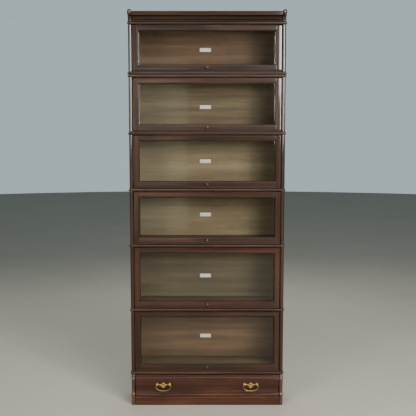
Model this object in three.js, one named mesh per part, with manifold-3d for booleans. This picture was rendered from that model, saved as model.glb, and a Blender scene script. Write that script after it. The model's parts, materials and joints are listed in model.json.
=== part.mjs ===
// Barrister bookcase: six stacked glazed sections under a moulded cornice, on a base with one drawer.
// Each section is two end panels, a nosed case and a lift-up door that slides back under the top board.
// Millimetres, +Z up, front towards -Y. The origin is the middle of the footprint, on the floor.
// Inside the groups Y is counted backwards from the front plane of the end panels.

import * as THREE from 'three';
import { mergeVertices } from 'three/addons/utils/BufferGeometryUtils.js';
import Module from 'manifold-3d';

const wasm = await Module();
wasm.setup();

// ---- Carcase ----
const CASE_WIDTH = 860;
const CASE_DEPTH = 265;
const END_THICKNESS = 22;
const BACK_THICKNESS = 8;
const SEAT_GAP = 0.2; // glue line or loose seat between two wooden pieces
const SECTION_HEIGHTS = [284, 313, 313, 313, 364, 364]; // the first is the top section

// ---- Nosed boards ----
const TOP_BOARD_THICKNESS = 15;
const NOSE_RADIUS = 7;
const SIDE_NOSING = 4.5; // how far a nosed board stands proud of the end panels
const FRONT_NOSING = 6;
const FOOT_BOARD_THICKNESS = 13; // the extra nosed board under the top section
const SHELF_THICKNESS = 18;
const SHELF_SETBACK = 25;
const SILL_HEIGHT = 9;
const SILL_SETBACK = 4;

// ---- Doors ----
const DOOR_THICKNESS = 20;
const DOOR_SETBACK = 3;
const DOOR_SIDE_GAP = 2;
const DOOR_TOP_GAP = 4;
const DOOR_SILL_GAP = 1;
const STILE_WIDTH = 31;
const RAIL_HEIGHT = 30;
const SIGHT_CHAMFER = 5; // bevel round the glass opening, on the front
const REBATE_WIDTH = 6;
const GLASS_SETBACK = 9; // from the front of the door
const GLASS_THICKNESS = 3;
const GLASS_CLEARANCE = 0.5;

// ---- Door hardware ----
const ROD_RADIUS = 3;
const ROD_DROP = 14; // rod axis below the top edge of the door
const ROD_CLEARANCE = 0.4; // radial, in the door and in the grooves
const GROOVE_DEPTH = 7;
const ROD_END_CLEARANCE = 1;
const SLIDE_STOP_CLEARANCE = 5; // what the door leaves free in front of the back panel
const KNOB_RADIUS = 8;
const KNOB_LENGTH = 17;
const KNOB_NECK_RADIUS = 4.5;
const KNOB_BASE_RADIUS = 6.5;
const KNOB_STOP_CLEARANCE = 3; // knob to nosing when the door is fully back

// ---- Cornice ----
const CORNICE_HEIGHT = 52;
const CORNICE_SIDE_PROJECTION = 0.5; // how far its ends stand proud of the end panels
const CORNICE_END_THICKNESS = 25;
const CORNICE_BEAD_RADIUS = 5;
const CORNICE_COVE_RADIUS = 18;
const CORNICE_STEP = 2; // quirk between bead, cove and fillet
const CORNICE_FILLET_HEIGHT = 21;
const CORNICE_FILLET_REACH = 14; // fillet in front of the cove
const CORNICE_FILLET_ARRIS = 3;
const CORNICE_LOBE_RADIUS = 16;
const CORNICE_LOBE_RISE = 12; // top of the lobes above the cornice
const CORNICE_MOULDING_DEPTH = 22; // solid wood behind the front plane
const CORNICE_BOARD_THICKNESS = 12;

// ---- Base ----
const BASE_HEIGHT = 194;
const PLINTH_HEIGHT = 48;
const PLINTH_THICKNESS = 20;
const PLINTH_PROJECTION = 6;
const PLINTH_CHAMFER = 3;
const RUNNER_WIDTH = 14;
const RUNNER_HEIGHT = 16;
const RUNNER_SETBACK = 25;

// ---- Drawer ----
const DRAWER_GAP = 1.5;
const DRAWER_FRONT_THICKNESS = 12; // behind the front plane
const DRAWER_LIFT = 4; // front above the plinth
const DRAWER_HEADROOM = 3; // front below the top board
const DRAWER_SIDE_THICKNESS = 12;
const DRAWER_SIDE_HEIGHT = 95;
const DRAWER_BOTTOM_THICKNESS = 6;
const DRAWER_BOTTOM_RISE = 8;
const DRAWER_BACK_CLEARANCE = 12;
const DRAWER_PLAY = 0.5; // drawer side above the runner
const OGEE_LIP = 12; // how far the lower lip stands forward
const OGEE_LIP_HEIGHT = 9;
const OGEE_FLARE_HEIGHT = 25;
const OGEE_WAIST = 2.5;
const OGEE_CREST = 11;
const OGEE_STRIP = 3; // setting of the flat strip above the crest
const OGEE_STRIP_HEIGHT = 14;
const OGEE_CREST_DROP = 14;

// ---- Drawer pulls ----
const PULL_SPACING = 496; // centre to centre
const PLATE_THICKNESS = 1.6;
const PLATE_HALF_WIDTH = 44;
const PLATE_RISE = 18;
const PLATE_DROP = 17;
const PLATE_OFF = 0.3; // plate off the curved wood
const EYE_SPACING = 70;
const EYE_RADIUS = 4.5;
const EYE_STANDOFF = 9; // bail axis in front of the plate
const EYE_HEIGHT = 2; // bail axis above the middle of the plate
const BAIL_WIRE_RADIUS = 2;
const BAIL_CLEARANCE = 0.35;
const BAIL_DROP = 31;
const BAIL_PIN_OVERHANG = 1; // straight wire beyond each side of the eye
const BAIL_ELBOW = 3.5;
const BAIL_SHOULDER = 0.94; // pull of the bow's sides, as a share of its half width
const BAIL_SHOULDER_DROP = 0.72; // and of its drop
const BAIL_FLAT = 0.56; // pull of the bow's middle, as a share of its half width

// ---- Worked out from the sizes above ----
const HALF_WIDTH = CASE_WIDTH / 2;
const INNER_HALF = HALF_WIDTH - END_THICKNESS;
const FIT_HALF = INNER_HALF - SEAT_GAP;
const BACK_FACE = CASE_DEPTH - BACK_THICKNESS;
const DOOR_HALF_THICKNESS = DOOR_THICKNESS / 2;
const ROD_Y = DOOR_SETBACK + DOOR_HALF_THICKNESS;
const DOOR_HALF_WIDTH = INNER_HALF - DOOR_SIDE_GAP;

// ---- Finishes ----
const finish = (color, roughness, metalness) =>
  new THREE.MeshStandardMaterial({ color, roughness, metalness });
const darkWood = () => finish(0x4f3226, 0.35, 0);
const redWood = () => finish(0x5c3324, 0.35, 0);
const innerWood = () => finish(0x74604a, 0.55, 0);
const steel = () => finish(0x6f6c66, 0.4, 1);
const brass = () => finish(0xb4924f, 0.35, 1);
const knobMetal = () => finish(0x6b5636, 0.4, 1);
const paneGlass = () => {
  const material = finish(0xbfcfc8, 0.05, 0);
  material.transparent = true;
  material.opacity = 0.25;
  return material;
};

// ---- Solids ----

// A closed mesh with its shared vertices merged, as a manifold solid.
function toSolid(geometry) {
  const bare = geometry.clone();
  bare.deleteAttribute('normal');
  bare.deleteAttribute('uv');
  const merged = mergeVertices(bare, 1e-4);
  return new wasm.Manifold(new wasm.Mesh({
    numProp: 3,
    vertProperties: new Float32Array(merged.attributes.position.array),
    triVerts: new Uint32Array(merged.index.array),
  }));
}

function toGeometry(solid) {
  const mesh = solid.getMesh();
  const geometry = new THREE.BufferGeometry();
  geometry.setAttribute('position', new THREE.BufferAttribute(new Float32Array(mesh.vertProperties), 3));
  geometry.setIndex(new THREE.BufferAttribute(new Uint32Array(mesh.triVerts), 1));
  geometry.computeVertexNormals();
  return geometry;
}

const join = (...geometries) =>
  toGeometry(geometries.map(toSolid).reduce((whole, piece) => whole.add(piece)));

const cut = (body, ...tools) =>
  toGeometry(tools.map(toSolid).reduce((left, tool) => left.subtract(tool), toSolid(body)));

// A rectangular block between two corners.
function block(x0, x1, y0, y1, z0, z1) {
  return new THREE.BoxGeometry(x1 - x0, y1 - y0, z1 - z0)
    .translate((x0 + x1) / 2, (y0 + y1) / 2, (z0 + z1) / 2);
}

// An outline drawn in (y, z), run along X.
function runAlongX(outline, x0, x1, curveSegments = 8) {
  const settings = { depth: x1 - x0, bevelEnabled: false, curveSegments };
  const turn = new THREE.Matrix4().makeBasis(
    new THREE.Vector3(0, 1, 0),
    new THREE.Vector3(0, 0, 1),
    new THREE.Vector3(1, 0, 0),
  );
  return new THREE.ExtrudeGeometry(outline, settings).applyMatrix4(turn).translate(x0, 0, 0);
}

// An outline drawn in (x, y), run upwards.
function runUp(outline, z0, z1, curveSegments = 6) {
  const settings = { depth: z1 - z0, bevelEnabled: false, curveSegments };
  return new THREE.ExtrudeGeometry(outline, settings).translate(0, 0, z0);
}

// A block whose front face is larger than its back face, for a bevelled opening.
function splayedBlock(halfWidth, z0, z1, yFront, yBack, splay) {
  const geometry = block(-halfWidth, halfWidth, yFront, yBack, z0, z1);
  const place = geometry.attributes.position;
  const middle = (z0 + z1) / 2;
  for (let i = 0; i < place.count; i += 1) {
    if (place.getY(i) < (yFront + yBack) / 2) {
      place.setX(i, place.getX(i) + Math.sign(place.getX(i)) * splay);
      place.setZ(i, place.getZ(i) + Math.sign(place.getZ(i) - middle) * splay);
    }
  }
  return geometry;
}

// A board with half-round front and side edges and a square back edge.
function nosedBoard(thickness, z0) {
  const radius = Math.min(NOSE_RADIUS, thickness * 0.48);
  const halfWidth = HALF_WIDTH + SIDE_NOSING - radius;
  const plan = new THREE.Shape([
    new THREE.Vector2(-halfWidth, -FRONT_NOSING + radius),
    new THREE.Vector2(halfWidth, -FRONT_NOSING + radius),
    new THREE.Vector2(halfWidth, CASE_DEPTH + radius),
    new THREE.Vector2(-halfWidth, CASE_DEPTH + radius),
  ]);
  const board = new THREE.ExtrudeGeometry(plan, {
    depth: thickness - 2 * radius,
    bevelThickness: radius,
    bevelSize: radius,
    bevelSegments: 4,
  }).translate(0, 0, z0 + radius);
  const clear = 4 * radius;
  const back = CASE_DEPTH;
  const behind = block(-CASE_WIDTH, CASE_WIDTH, back, back + clear, z0 - clear, z0 + thickness + clear);
  return cut(board, behind);
}

// ---- Assembly helpers ----

function add(parent, name, geometry, material, place = [0, 0, 0]) {
  const mesh = new THREE.Mesh(geometry, material);
  mesh.name = name;
  mesh.position.set(...place);
  parent.add(mesh);
  return mesh;
}

const SIDES = [['left', -1], ['right', 1]];

// ---- Section ----

// How far the rod slides back: stopped by the back panel or by the knob against the nosing.
function slideTravel(doorHeight) {
  const byBack = BACK_FACE - SLIDE_STOP_CLEARANCE - ROD_DROP - ROD_Y;
  const knobToRod = doorHeight - ROD_DROP - RAIL_HEIGHT / 2 - KNOB_RADIUS;
  const byKnob = knobToRod - ROD_Y - FRONT_NOSING - KNOB_STOP_CLEARANCE;
  return Math.min(byBack, byKnob);
}

// End panel with a bull-nosed front edge and, on its inner face, the groove for the rod.
function endPanel(side, z0, z1, grooveZ, travel) {
  const inner = side * INNER_HALF;
  const outer = side * HALF_WIDTH;
  const nose = END_THICKNESS / 2;
  const plan = new THREE.Shape();
  plan.moveTo(inner, CASE_DEPTH);
  plan.lineTo(inner, nose);
  const start = side > 0 ? Math.PI : 0;
  plan.absarc((inner + outer) / 2, nose, nose, start, start + Math.PI, side < 0);
  plan.lineTo(outer, CASE_DEPTH);
  const halfHeight = ROD_RADIUS + ROD_CLEARANCE;
  const groove = new THREE.Shape();
  groove.absarc(ROD_Y, grooveZ, halfHeight, Math.PI / 2, 1.5 * Math.PI, false);
  groove.absarc(ROD_Y + travel, grooveZ, halfHeight, -Math.PI / 2, Math.PI / 2, false);
  const grooveEnd = side * (INNER_HALF + GROOVE_DEPTH);
  const mouth = side * (INNER_HALF - 1);
  const grooveSolid = runAlongX(groove, Math.min(mouth, grooveEnd), Math.max(mouth, grooveEnd), 5);
  return cut(runUp(plan, z0, z1), grooveSolid);
}

// Top board, shelf with its sill, and back panel, as one C-shaped case.
function sectionCase(height, floor) {
  const topUnder = height - TOP_BOARD_THICKNESS;
  const pieces = [
    nosedBoard(TOP_BOARD_THICKNESS, topUnder),
    block(-FIT_HALF, FIT_HALF, BACK_FACE, CASE_DEPTH, floor, topUnder + 1),
    block(-FIT_HALF, FIT_HALF, SHELF_SETBACK, CASE_DEPTH, floor, floor + SHELF_THICKNESS),
    block(-FIT_HALF, FIT_HALF, SILL_SETBACK, SHELF_SETBACK + 1, floor, floor + SILL_HEIGHT),
  ];
  return join(...pieces);
}

function doorFrame(doorHeight) {
  const top = ROD_DROP;
  const bottom = ROD_DROP - doorHeight;
  const front = -DOOR_HALF_THICKNESS;
  const back = DOOR_HALF_THICKNESS;
  const openHalf = DOOR_HALF_WIDTH - STILE_WIDTH;
  const openTop = top - RAIL_HEIGHT;
  const openBottom = bottom + RAIL_HEIGHT;
  const rebateHalf = openHalf + REBATE_WIDTH;
  const rebateFront = front + GLASS_SETBACK;
  const boreRadius = ROD_RADIUS + ROD_CLEARANCE;
  const bore = new THREE.CylinderGeometry(boreRadius, boreRadius, CASE_WIDTH, 12).rotateZ(Math.PI / 2);
  return cut(
    block(-DOOR_HALF_WIDTH, DOOR_HALF_WIDTH, front, back, bottom, top),
    block(-openHalf, openHalf, front - 1, back + 1, openBottom, openTop),
    block(-rebateHalf, rebateHalf, rebateFront, back + 1, openBottom - REBATE_WIDTH, openTop + REBATE_WIDTH),
    splayedBlock(openHalf, openBottom, openTop, front, front + SIGHT_CHAMFER, SIGHT_CHAMFER),
    bore,
  );
}

function doorGlass(doorHeight) {
  const half = DOOR_HALF_WIDTH - STILE_WIDTH + REBATE_WIDTH - GLASS_CLEARANCE;
  const top = ROD_DROP - RAIL_HEIGHT + REBATE_WIDTH - GLASS_CLEARANCE;
  const bottom = ROD_DROP - doorHeight + RAIL_HEIGHT - REBATE_WIDTH + GLASS_CLEARANCE;
  const front = -DOOR_HALF_THICKNESS + GLASS_SETBACK + SEAT_GAP;
  return block(-half, half, front, front + GLASS_THICKNESS, bottom, top);
}

// Turned knob; its axis points forwards.
function knob() {
  const outline = [
    new THREE.Vector2(0, 0),
    new THREE.Vector2(KNOB_BASE_RADIUS, 0),
    new THREE.Vector2(KNOB_BASE_RADIUS, KNOB_LENGTH * 0.12),
    new THREE.Vector2(KNOB_NECK_RADIUS, KNOB_LENGTH * 0.3),
    new THREE.Vector2(KNOB_RADIUS * 0.8, KNOB_LENGTH * 0.5),
    new THREE.Vector2(KNOB_RADIUS, KNOB_LENGTH * 0.7),
    new THREE.Vector2(KNOB_RADIUS * 0.8, KNOB_LENGTH * 0.9),
    new THREE.Vector2(KNOB_RADIUS * 0.4, KNOB_LENGTH * 0.985),
    new THREE.Vector2(0, KNOB_LENGTH),
  ];
  return new THREE.LatheGeometry(outline, 12).rotateX(Math.PI);
}

function pivotRod() {
  const length = 2 * (INNER_HALF + GROOVE_DEPTH - ROD_END_CLEARANCE);
  return new THREE.CylinderGeometry(ROD_RADIUS, ROD_RADIUS, length, 12).rotateZ(Math.PI / 2);
}

function buildDoor(parent, name, doorHeight, rodZ) {
  const door = new THREE.Group();
  door.position.set(0, ROD_Y, rodZ);
  parent.add(door);
  add(door, `${name}_frame`, doorFrame(doorHeight), darkWood());
  add(door, `${name}_glass`, doorGlass(doorHeight), paneGlass());
  add(door, `${name}_pivot_rod`, pivotRod(), steel());
  const knobZ = ROD_DROP - doorHeight + RAIL_HEIGHT / 2;
  add(door, `${name}_knob`, knob(), knobMetal(), [0, -DOOR_HALF_THICKNESS - SEAT_GAP, knobZ]);
}

function buildSection(parent, number, height, z) {
  const section = new THREE.Group();
  section.position.z = z;
  parent.add(section);
  const isTop = number === 1;
  const floor = isTop ? FOOT_BOARD_THICKNESS : 0;
  const endFoot = floor + SEAT_GAP;
  const topUnder = height - TOP_BOARD_THICKNESS;
  const doorBottom = floor + SEAT_GAP + SILL_HEIGHT + DOOR_SILL_GAP;
  const doorTop = topUnder - DOOR_TOP_GAP;
  const doorHeight = doorTop - doorBottom;
  const rodZ = doorTop - ROD_DROP;
  const travel = slideTravel(doorHeight);
  for (const [label, side] of SIDES) {
    const panel = endPanel(side, endFoot, topUnder - SEAT_GAP, rodZ, travel);
    add(section, `section_${number}_${label}_end`, panel, redWood());
  }
  const shell = sectionCase(height, isTop ? SEAT_GAP + FOOT_BOARD_THICKNESS - 1 : SEAT_GAP);
  const withFoot = isTop ? join(shell, nosedBoard(FOOT_BOARD_THICKNESS - SEAT_GAP, SEAT_GAP)) : shell;
  add(section, `section_${number}_case`, withFoot, innerWood());
  buildDoor(section, `door_${number}`, doorHeight, rodZ);
}

// ---- Cornice ----

const COVE_TOP = 2 * CORNICE_BEAD_RADIUS + CORNICE_STEP + CORNICE_COVE_RADIUS;
const CORNICE_PROJECTION = CORNICE_COVE_RADIUS + 2 * CORNICE_STEP;
const FILLET_FACE = CORNICE_PROJECTION + CORNICE_FILLET_REACH;

// Bead and cove shared by the ends and the front moulding, drawn upwards.
function traceBeadAndCove(outline, foot) {
  const beadTop = foot + 2 * CORNICE_BEAD_RADIUS;
  outline.lineTo(0, foot);
  outline.absarc(0, foot + CORNICE_BEAD_RADIUS, CORNICE_BEAD_RADIUS, -Math.PI / 2, -1.5 * Math.PI, true);
  outline.lineTo(-CORNICE_STEP, beadTop);
  const coveFoot = COVE_TOP - CORNICE_COVE_RADIUS;
  outline.absarc(-CORNICE_STEP - CORNICE_COVE_RADIUS, coveFoot, CORNICE_COVE_RADIUS, 0, Math.PI / 2, false);
}

function corniceEnd(side) {
  const lobeTop = CORNICE_HEIGHT + CORNICE_LOBE_RISE;
  const lobeY = CORNICE_LOBE_RADIUS - FILLET_FACE - CORNICE_STEP;
  const lobeZ = lobeTop - CORNICE_LOBE_RADIUS;
  const outline = new THREE.Shape();
  outline.moveTo(CASE_DEPTH, SEAT_GAP);
  traceBeadAndCove(outline, SEAT_GAP);
  outline.absarc(lobeY, lobeZ, CORNICE_LOBE_RADIUS, 1.5 * Math.PI, 0.25 * Math.PI, true);
  outline.lineTo(lobeY + CORNICE_LOBE_RADIUS, CORNICE_HEIGHT);
  outline.lineTo(CASE_DEPTH, CORNICE_HEIGHT);
  const outer = side * (HALF_WIDTH + CORNICE_SIDE_PROJECTION);
  const inner = outer - side * CORNICE_END_THICKNESS;
  return runAlongX(outline, Math.min(inner, outer), Math.max(inner, outer));
}

function corniceMoulding(half) {
  const filletFoot = CORNICE_HEIGHT - CORNICE_FILLET_HEIGHT;
  const outline = new THREE.Shape();
  outline.moveTo(CORNICE_MOULDING_DEPTH, SEAT_GAP);
  traceBeadAndCove(outline, SEAT_GAP);
  outline.lineTo(-CORNICE_PROJECTION, filletFoot);
  outline.lineTo(-FILLET_FACE + CORNICE_STEP, filletFoot);
  outline.lineTo(-FILLET_FACE, filletFoot + CORNICE_STEP);
  outline.lineTo(-FILLET_FACE, CORNICE_HEIGHT - CORNICE_FILLET_ARRIS);
  outline.lineTo(-FILLET_FACE + CORNICE_FILLET_ARRIS, CORNICE_HEIGHT);
  outline.lineTo(CORNICE_MOULDING_DEPTH, CORNICE_HEIGHT);
  return runAlongX(outline, -half, half);
}

function buildCornice(parent, z) {
  const cornice = new THREE.Group();
  cornice.position.z = z;
  parent.add(cornice);
  for (const [label, side] of SIDES) {
    add(cornice, `cornice_${label}_end`, corniceEnd(side), darkWood());
  }
  const half = HALF_WIDTH + CORNICE_SIDE_PROJECTION - CORNICE_END_THICKNESS - SEAT_GAP;
  add(cornice, 'cornice_moulding', corniceMoulding(half), darkWood());
  const boardFoot = CORNICE_HEIGHT - CORNICE_BOARD_THICKNESS;
  const boardFront = CORNICE_MOULDING_DEPTH + SEAT_GAP;
  const board = block(-half, half, boardFront, CASE_DEPTH, boardFoot, CORNICE_HEIGHT);
  add(cornice, 'cornice_top_board', board, darkWood());
}

// ---- Base ----

const BASE_TOP_UNDER = BASE_HEIGHT - TOP_BOARD_THICKNESS;
const DRAWER_FOOT = PLINTH_HEIGHT + DRAWER_LIFT;
const DRAWER_TOP = BASE_TOP_UNDER - DRAWER_HEADROOM;
const WAIST_Z = DRAWER_FOOT + OGEE_LIP_HEIGHT + OGEE_FLARE_HEIGHT;
const CREST_Z = DRAWER_TOP - OGEE_STRIP_HEIGHT - OGEE_CREST_DROP;

// Lip, hollow flare, leaning body, rounded crest and flat strip, drawn upwards.
function traceOgee(outline) {
  const lipTop = DRAWER_FOOT + OGEE_LIP_HEIGHT;
  outline.lineTo(-OGEE_LIP, DRAWER_FOOT);
  outline.lineTo(-OGEE_LIP, lipTop);
  outline.absellipse(-OGEE_LIP, WAIST_Z, OGEE_LIP - OGEE_WAIST, OGEE_FLARE_HEIGHT, -Math.PI / 2, 0, false, 0);
  const crestReach = OGEE_CREST - OGEE_STRIP;
  outline.absellipse(-OGEE_STRIP, CREST_Z, crestReach, OGEE_CREST_DROP, Math.PI, Math.PI / 2, true, 0);
  outline.lineTo(-OGEE_STRIP, DRAWER_TOP);
}

// End of the base: the drawer's outline on its front edge, and a runner on its inner face.
function baseEnd(side) {
  const outline = new THREE.Shape();
  outline.moveTo(CASE_DEPTH, 0);
  outline.lineTo(-PLINTH_PROJECTION, 0);
  outline.lineTo(-PLINTH_PROJECTION, PLINTH_HEIGHT);
  traceOgee(outline);
  outline.lineTo(-OGEE_STRIP, BASE_TOP_UNDER - SEAT_GAP);
  outline.lineTo(CASE_DEPTH, BASE_TOP_UNDER - SEAT_GAP);
  const inner = side * INNER_HALF;
  const outer = side * HALF_WIDTH;
  const runnerTip = side * (INNER_HALF - RUNNER_WIDTH);
  const runnerRoot = side * (INNER_HALF + 1);
  const runner = block(
    Math.min(runnerTip, runnerRoot),
    Math.max(runnerTip, runnerRoot),
    RUNNER_SETBACK,
    BACK_FACE - SEAT_GAP,
    DRAWER_FOOT - RUNNER_HEIGHT,
    DRAWER_FOOT,
  );
  return join(runAlongX(outline, Math.min(inner, outer), Math.max(inner, outer), 6), runner);
}

function plinth() {
  const back = PLINTH_THICKNESS - PLINTH_PROJECTION;
  const outline = new THREE.Shape([
    new THREE.Vector2(back, 0),
    new THREE.Vector2(-PLINTH_PROJECTION, 0),
    new THREE.Vector2(-PLINTH_PROJECTION, PLINTH_HEIGHT - PLINTH_CHAMFER),
    new THREE.Vector2(-PLINTH_PROJECTION + PLINTH_CHAMFER, PLINTH_HEIGHT),
    new THREE.Vector2(back, PLINTH_HEIGHT),
  ]);
  return runAlongX(outline, -FIT_HALF, FIT_HALF);
}

// ---- Drawer and pulls ----

const DRAWER_HALF = INNER_HALF - DRAWER_GAP;
const DRAWER_BACK = BACK_FACE - DRAWER_BACK_CLEARANCE;
const DRAWER_SIDE_FOOT = DRAWER_FOOT + DRAWER_PLAY;

function drawerFront() {
  const outline = new THREE.Shape();
  outline.moveTo(DRAWER_FRONT_THICKNESS, DRAWER_FOOT);
  traceOgee(outline);
  outline.lineTo(DRAWER_FRONT_THICKNESS, DRAWER_TOP);
  return runAlongX(outline, -DRAWER_HALF, DRAWER_HALF, 6);
}

function buildDrawer(parent) {
  const wood = innerWood;
  const sideTop = DRAWER_SIDE_FOOT + DRAWER_SIDE_HEIGHT;
  const boxFront = DRAWER_FRONT_THICKNESS + SEAT_GAP;
  const innerHalf = DRAWER_HALF - DRAWER_SIDE_THICKNESS - SEAT_GAP;
  add(parent, 'drawer_front', drawerFront(), redWood());
  for (const [label, side] of SIDES) {
    const outer = side * DRAWER_HALF;
    const inner = outer - side * DRAWER_SIDE_THICKNESS;
    const x0 = Math.min(outer, inner);
    const x1 = Math.max(outer, inner);
    const board = block(x0, x1, boxFront, DRAWER_BACK, DRAWER_SIDE_FOOT, sideTop);
    add(parent, `drawer_${label}_side`, board, wood());
  }
  const backFront = DRAWER_BACK - DRAWER_SIDE_THICKNESS;
  const back = block(-innerHalf, innerHalf, backFront, DRAWER_BACK, DRAWER_SIDE_FOOT, sideTop);
  add(parent, 'drawer_back', back, wood());
  const bottomFoot = DRAWER_SIDE_FOOT + DRAWER_BOTTOM_RISE;
  const bottomTop = bottomFoot + DRAWER_BOTTOM_THICKNESS;
  const bottom = block(-innerHalf, innerHalf, boxFront, backFront - SEAT_GAP, bottomFoot, bottomTop);
  add(parent, 'drawer_bottom', bottom, wood());
}

// Pierced bat-wing plate with an oval eye in its middle, drawn in (x, z) about its centre.
function plateOutline() {
  const w = PLATE_HALF_WIDTH;
  const outline = new THREE.Shape();
  outline.moveTo(0, -PLATE_DROP);
  outline.quadraticCurveTo(w * 0.3, -PLATE_DROP, w * 0.42, -PLATE_DROP * 0.45);
  outline.quadraticCurveTo(w * 0.62, -PLATE_DROP * 0.75, w * 0.84, -PLATE_DROP * 0.4);
  outline.quadraticCurveTo(w * 1.04, PLATE_RISE * 0.2, w, PLATE_RISE * 0.75);
  outline.quadraticCurveTo(w * 0.9, PLATE_RISE * 1.15, w * 0.72, PLATE_RISE * 0.7);
  outline.quadraticCurveTo(w * 0.55, PLATE_RISE * 0.35, w * 0.4, PLATE_RISE * 0.6);
  outline.quadraticCurveTo(w * 0.25, PLATE_RISE, 0, PLATE_RISE);
  outline.quadraticCurveTo(-w * 0.25, PLATE_RISE, -w * 0.4, PLATE_RISE * 0.6);
  outline.quadraticCurveTo(-w * 0.55, PLATE_RISE * 0.35, -w * 0.72, PLATE_RISE * 0.7);
  outline.quadraticCurveTo(-w * 0.9, PLATE_RISE * 1.15, -w, PLATE_RISE * 0.75);
  outline.quadraticCurveTo(-w * 1.04, PLATE_RISE * 0.2, -w * 0.84, -PLATE_DROP * 0.4);
  outline.quadraticCurveTo(-w * 0.62, -PLATE_DROP * 0.75, -w * 0.42, -PLATE_DROP * 0.45);
  outline.quadraticCurveTo(-w * 0.3, -PLATE_DROP, 0, -PLATE_DROP);
  const eye = new THREE.Path();
  eye.absellipse(0, PLATE_RISE * 0.25, w * 0.13, PLATE_RISE * 0.3, 0, 2 * Math.PI, true, 0);
  outline.holes.push(eye);
  return outline;
}

// The plate with its two bored eyes; the wood side of the plate is at y = 0.
function pullPlate() {
  const plate = new THREE.ExtrudeGeometry(plateOutline(), {
    depth: PLATE_THICKNESS,
    bevelEnabled: false,
    curveSegments: 4,
  }).rotateX(Math.PI / 2);
  const eyeY = -PLATE_THICKNESS - EYE_STANDOFF;
  const studs = SIDES.flatMap(([, side]) => {
    const x = (side * EYE_SPACING) / 2;
    const stem = new THREE.CylinderGeometry(EYE_RADIUS * 0.8, EYE_RADIUS * 0.6, EYE_STANDOFF + 1, 10)
      .translate(x, eyeY / 2 - PLATE_THICKNESS / 2, EYE_HEIGHT);
    const ball = new THREE.SphereGeometry(EYE_RADIUS, 10, 8).translate(x, eyeY, EYE_HEIGHT);
    return [stem, ball];
  });
  const boreRadius = BAIL_WIRE_RADIUS + BAIL_CLEARANCE;
  const bore = new THREE.CylinderGeometry(boreRadius, boreRadius, 2 * CASE_WIDTH, 10)
    .rotateZ(Math.PI / 2)
    .translate(0, eyeY, EYE_HEIGHT);
  return cut(join(plate, ...studs), bore);
}

// Half of the swan-neck bail, from its pin in one eye to the middle of its bow.
function bailHalf(side) {
  const at = (x, z) => new THREE.Vector3(side * x, 0, z);
  const eyeX = EYE_SPACING / 2;
  const pinEnd = eyeX - EYE_RADIUS - BAIL_PIN_OVERHANG;
  const bendStart = eyeX + EYE_RADIUS + BAIL_PIN_OVERHANG;
  const outer = bendStart + BAIL_ELBOW;
  return [
    new THREE.LineCurve3(at(pinEnd, 0), at(bendStart, 0)),
    new THREE.QuadraticBezierCurve3(at(bendStart, 0), at(outer, 0), at(outer, -BAIL_ELBOW)),
    new THREE.CubicBezierCurve3(
      at(outer, -BAIL_ELBOW),
      at(outer * BAIL_SHOULDER, -BAIL_DROP * BAIL_SHOULDER_DROP),
      at(outer * BAIL_FLAT, -BAIL_DROP),
      at(0, -BAIL_DROP),
    ),
  ];
}

// The same curve walked from its other end.
function reversed(curve) {
  if (curve.isLineCurve3) return new THREE.LineCurve3(curve.v2, curve.v1);
  if (curve.isQuadraticBezierCurve3) return new THREE.QuadraticBezierCurve3(curve.v2, curve.v1, curve.v0);
  return new THREE.CubicBezierCurve3(curve.v3, curve.v2, curve.v1, curve.v0);
}

function bail() {
  const route = new THREE.CurvePath();
  bailHalf(-1).forEach((curve) => route.add(curve));
  bailHalf(1).reverse().forEach((curve) => route.add(reversed(curve)));
  const section = new THREE.Shape();
  section.absarc(0, 0, BAIL_WIRE_RADIUS, 0, 2 * Math.PI, false);
  return new THREE.ExtrudeGeometry(section, { steps: 56, extrudePath: route, curveSegments: 4 });
}

function buildPulls(parent) {
  const waist = new THREE.Vector2(-OGEE_WAIST, WAIST_Z);
  const crest = new THREE.Vector2(-OGEE_CREST, CREST_Z);
  const lean = Math.atan2(waist.x - crest.x, crest.y - waist.y);
  const middle = waist.clone().lerp(crest, 0.5);
  for (const [label, side] of SIDES) {
    const seat = new THREE.Group();
    seat.position.set((side * PULL_SPACING) / 2, middle.x, middle.y);
    seat.rotation.x = lean;
    parent.add(seat);
    add(seat, `${label}_pull_plate`, pullPlate(), brass(), [0, -PLATE_OFF, 0]);
    const eye = new THREE.Vector3(0, -PLATE_OFF - PLATE_THICKNESS - EYE_STANDOFF, EYE_HEIGHT)
      .applyEuler(seat.rotation)
      .add(seat.position);
    add(parent, `${label}_pull_bail`, bail(), brass(), eye.toArray());
  }
}

function buildBase(parent) {
  const base = new THREE.Group();
  parent.add(base);
  for (const [label, side] of SIDES) {
    add(base, `base_${label}_end`, baseEnd(side), redWood());
  }
  add(base, 'base_top_board', nosedBoard(TOP_BOARD_THICKNESS, BASE_TOP_UNDER), redWood());
  add(base, 'base_plinth', plinth(), redWood());
  const back = block(-FIT_HALF, FIT_HALF, BACK_FACE, CASE_DEPTH, 0, BASE_TOP_UNDER - SEAT_GAP);
  add(base, 'base_back_panel', back, innerWood());
  buildDrawer(base);
  buildPulls(base);
}

// ---- Bookcase ----

const bookcase = new THREE.Group();
buildBase(bookcase);
let level = BASE_HEIGHT;
for (let number = SECTION_HEIGHTS.length; number >= 1; number -= 1) {
  const height = SECTION_HEIGHTS[number - 1];
  buildSection(bookcase, number, height, level);
  level += height;
}
buildCornice(bookcase, level);

bookcase.updateMatrixWorld(true);
const extent = new THREE.Box3().setFromObject(bookcase, true);
bookcase.position.y = -(extent.min.y + extent.max.y) / 2;

export default bookcase;
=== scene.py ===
"""Barrister bookcase: six glazed sections, a moulded cornice and a base with one drawer.

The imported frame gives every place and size. This script makes the boards, doors, panes, mouldings and
metalwork as rounded solids on those places, and dresses them in varnished wood, old glass and aged metal.
Lengths are metres, +Z is up and the front faces -Y.
"""

from __future__ import annotations

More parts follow.
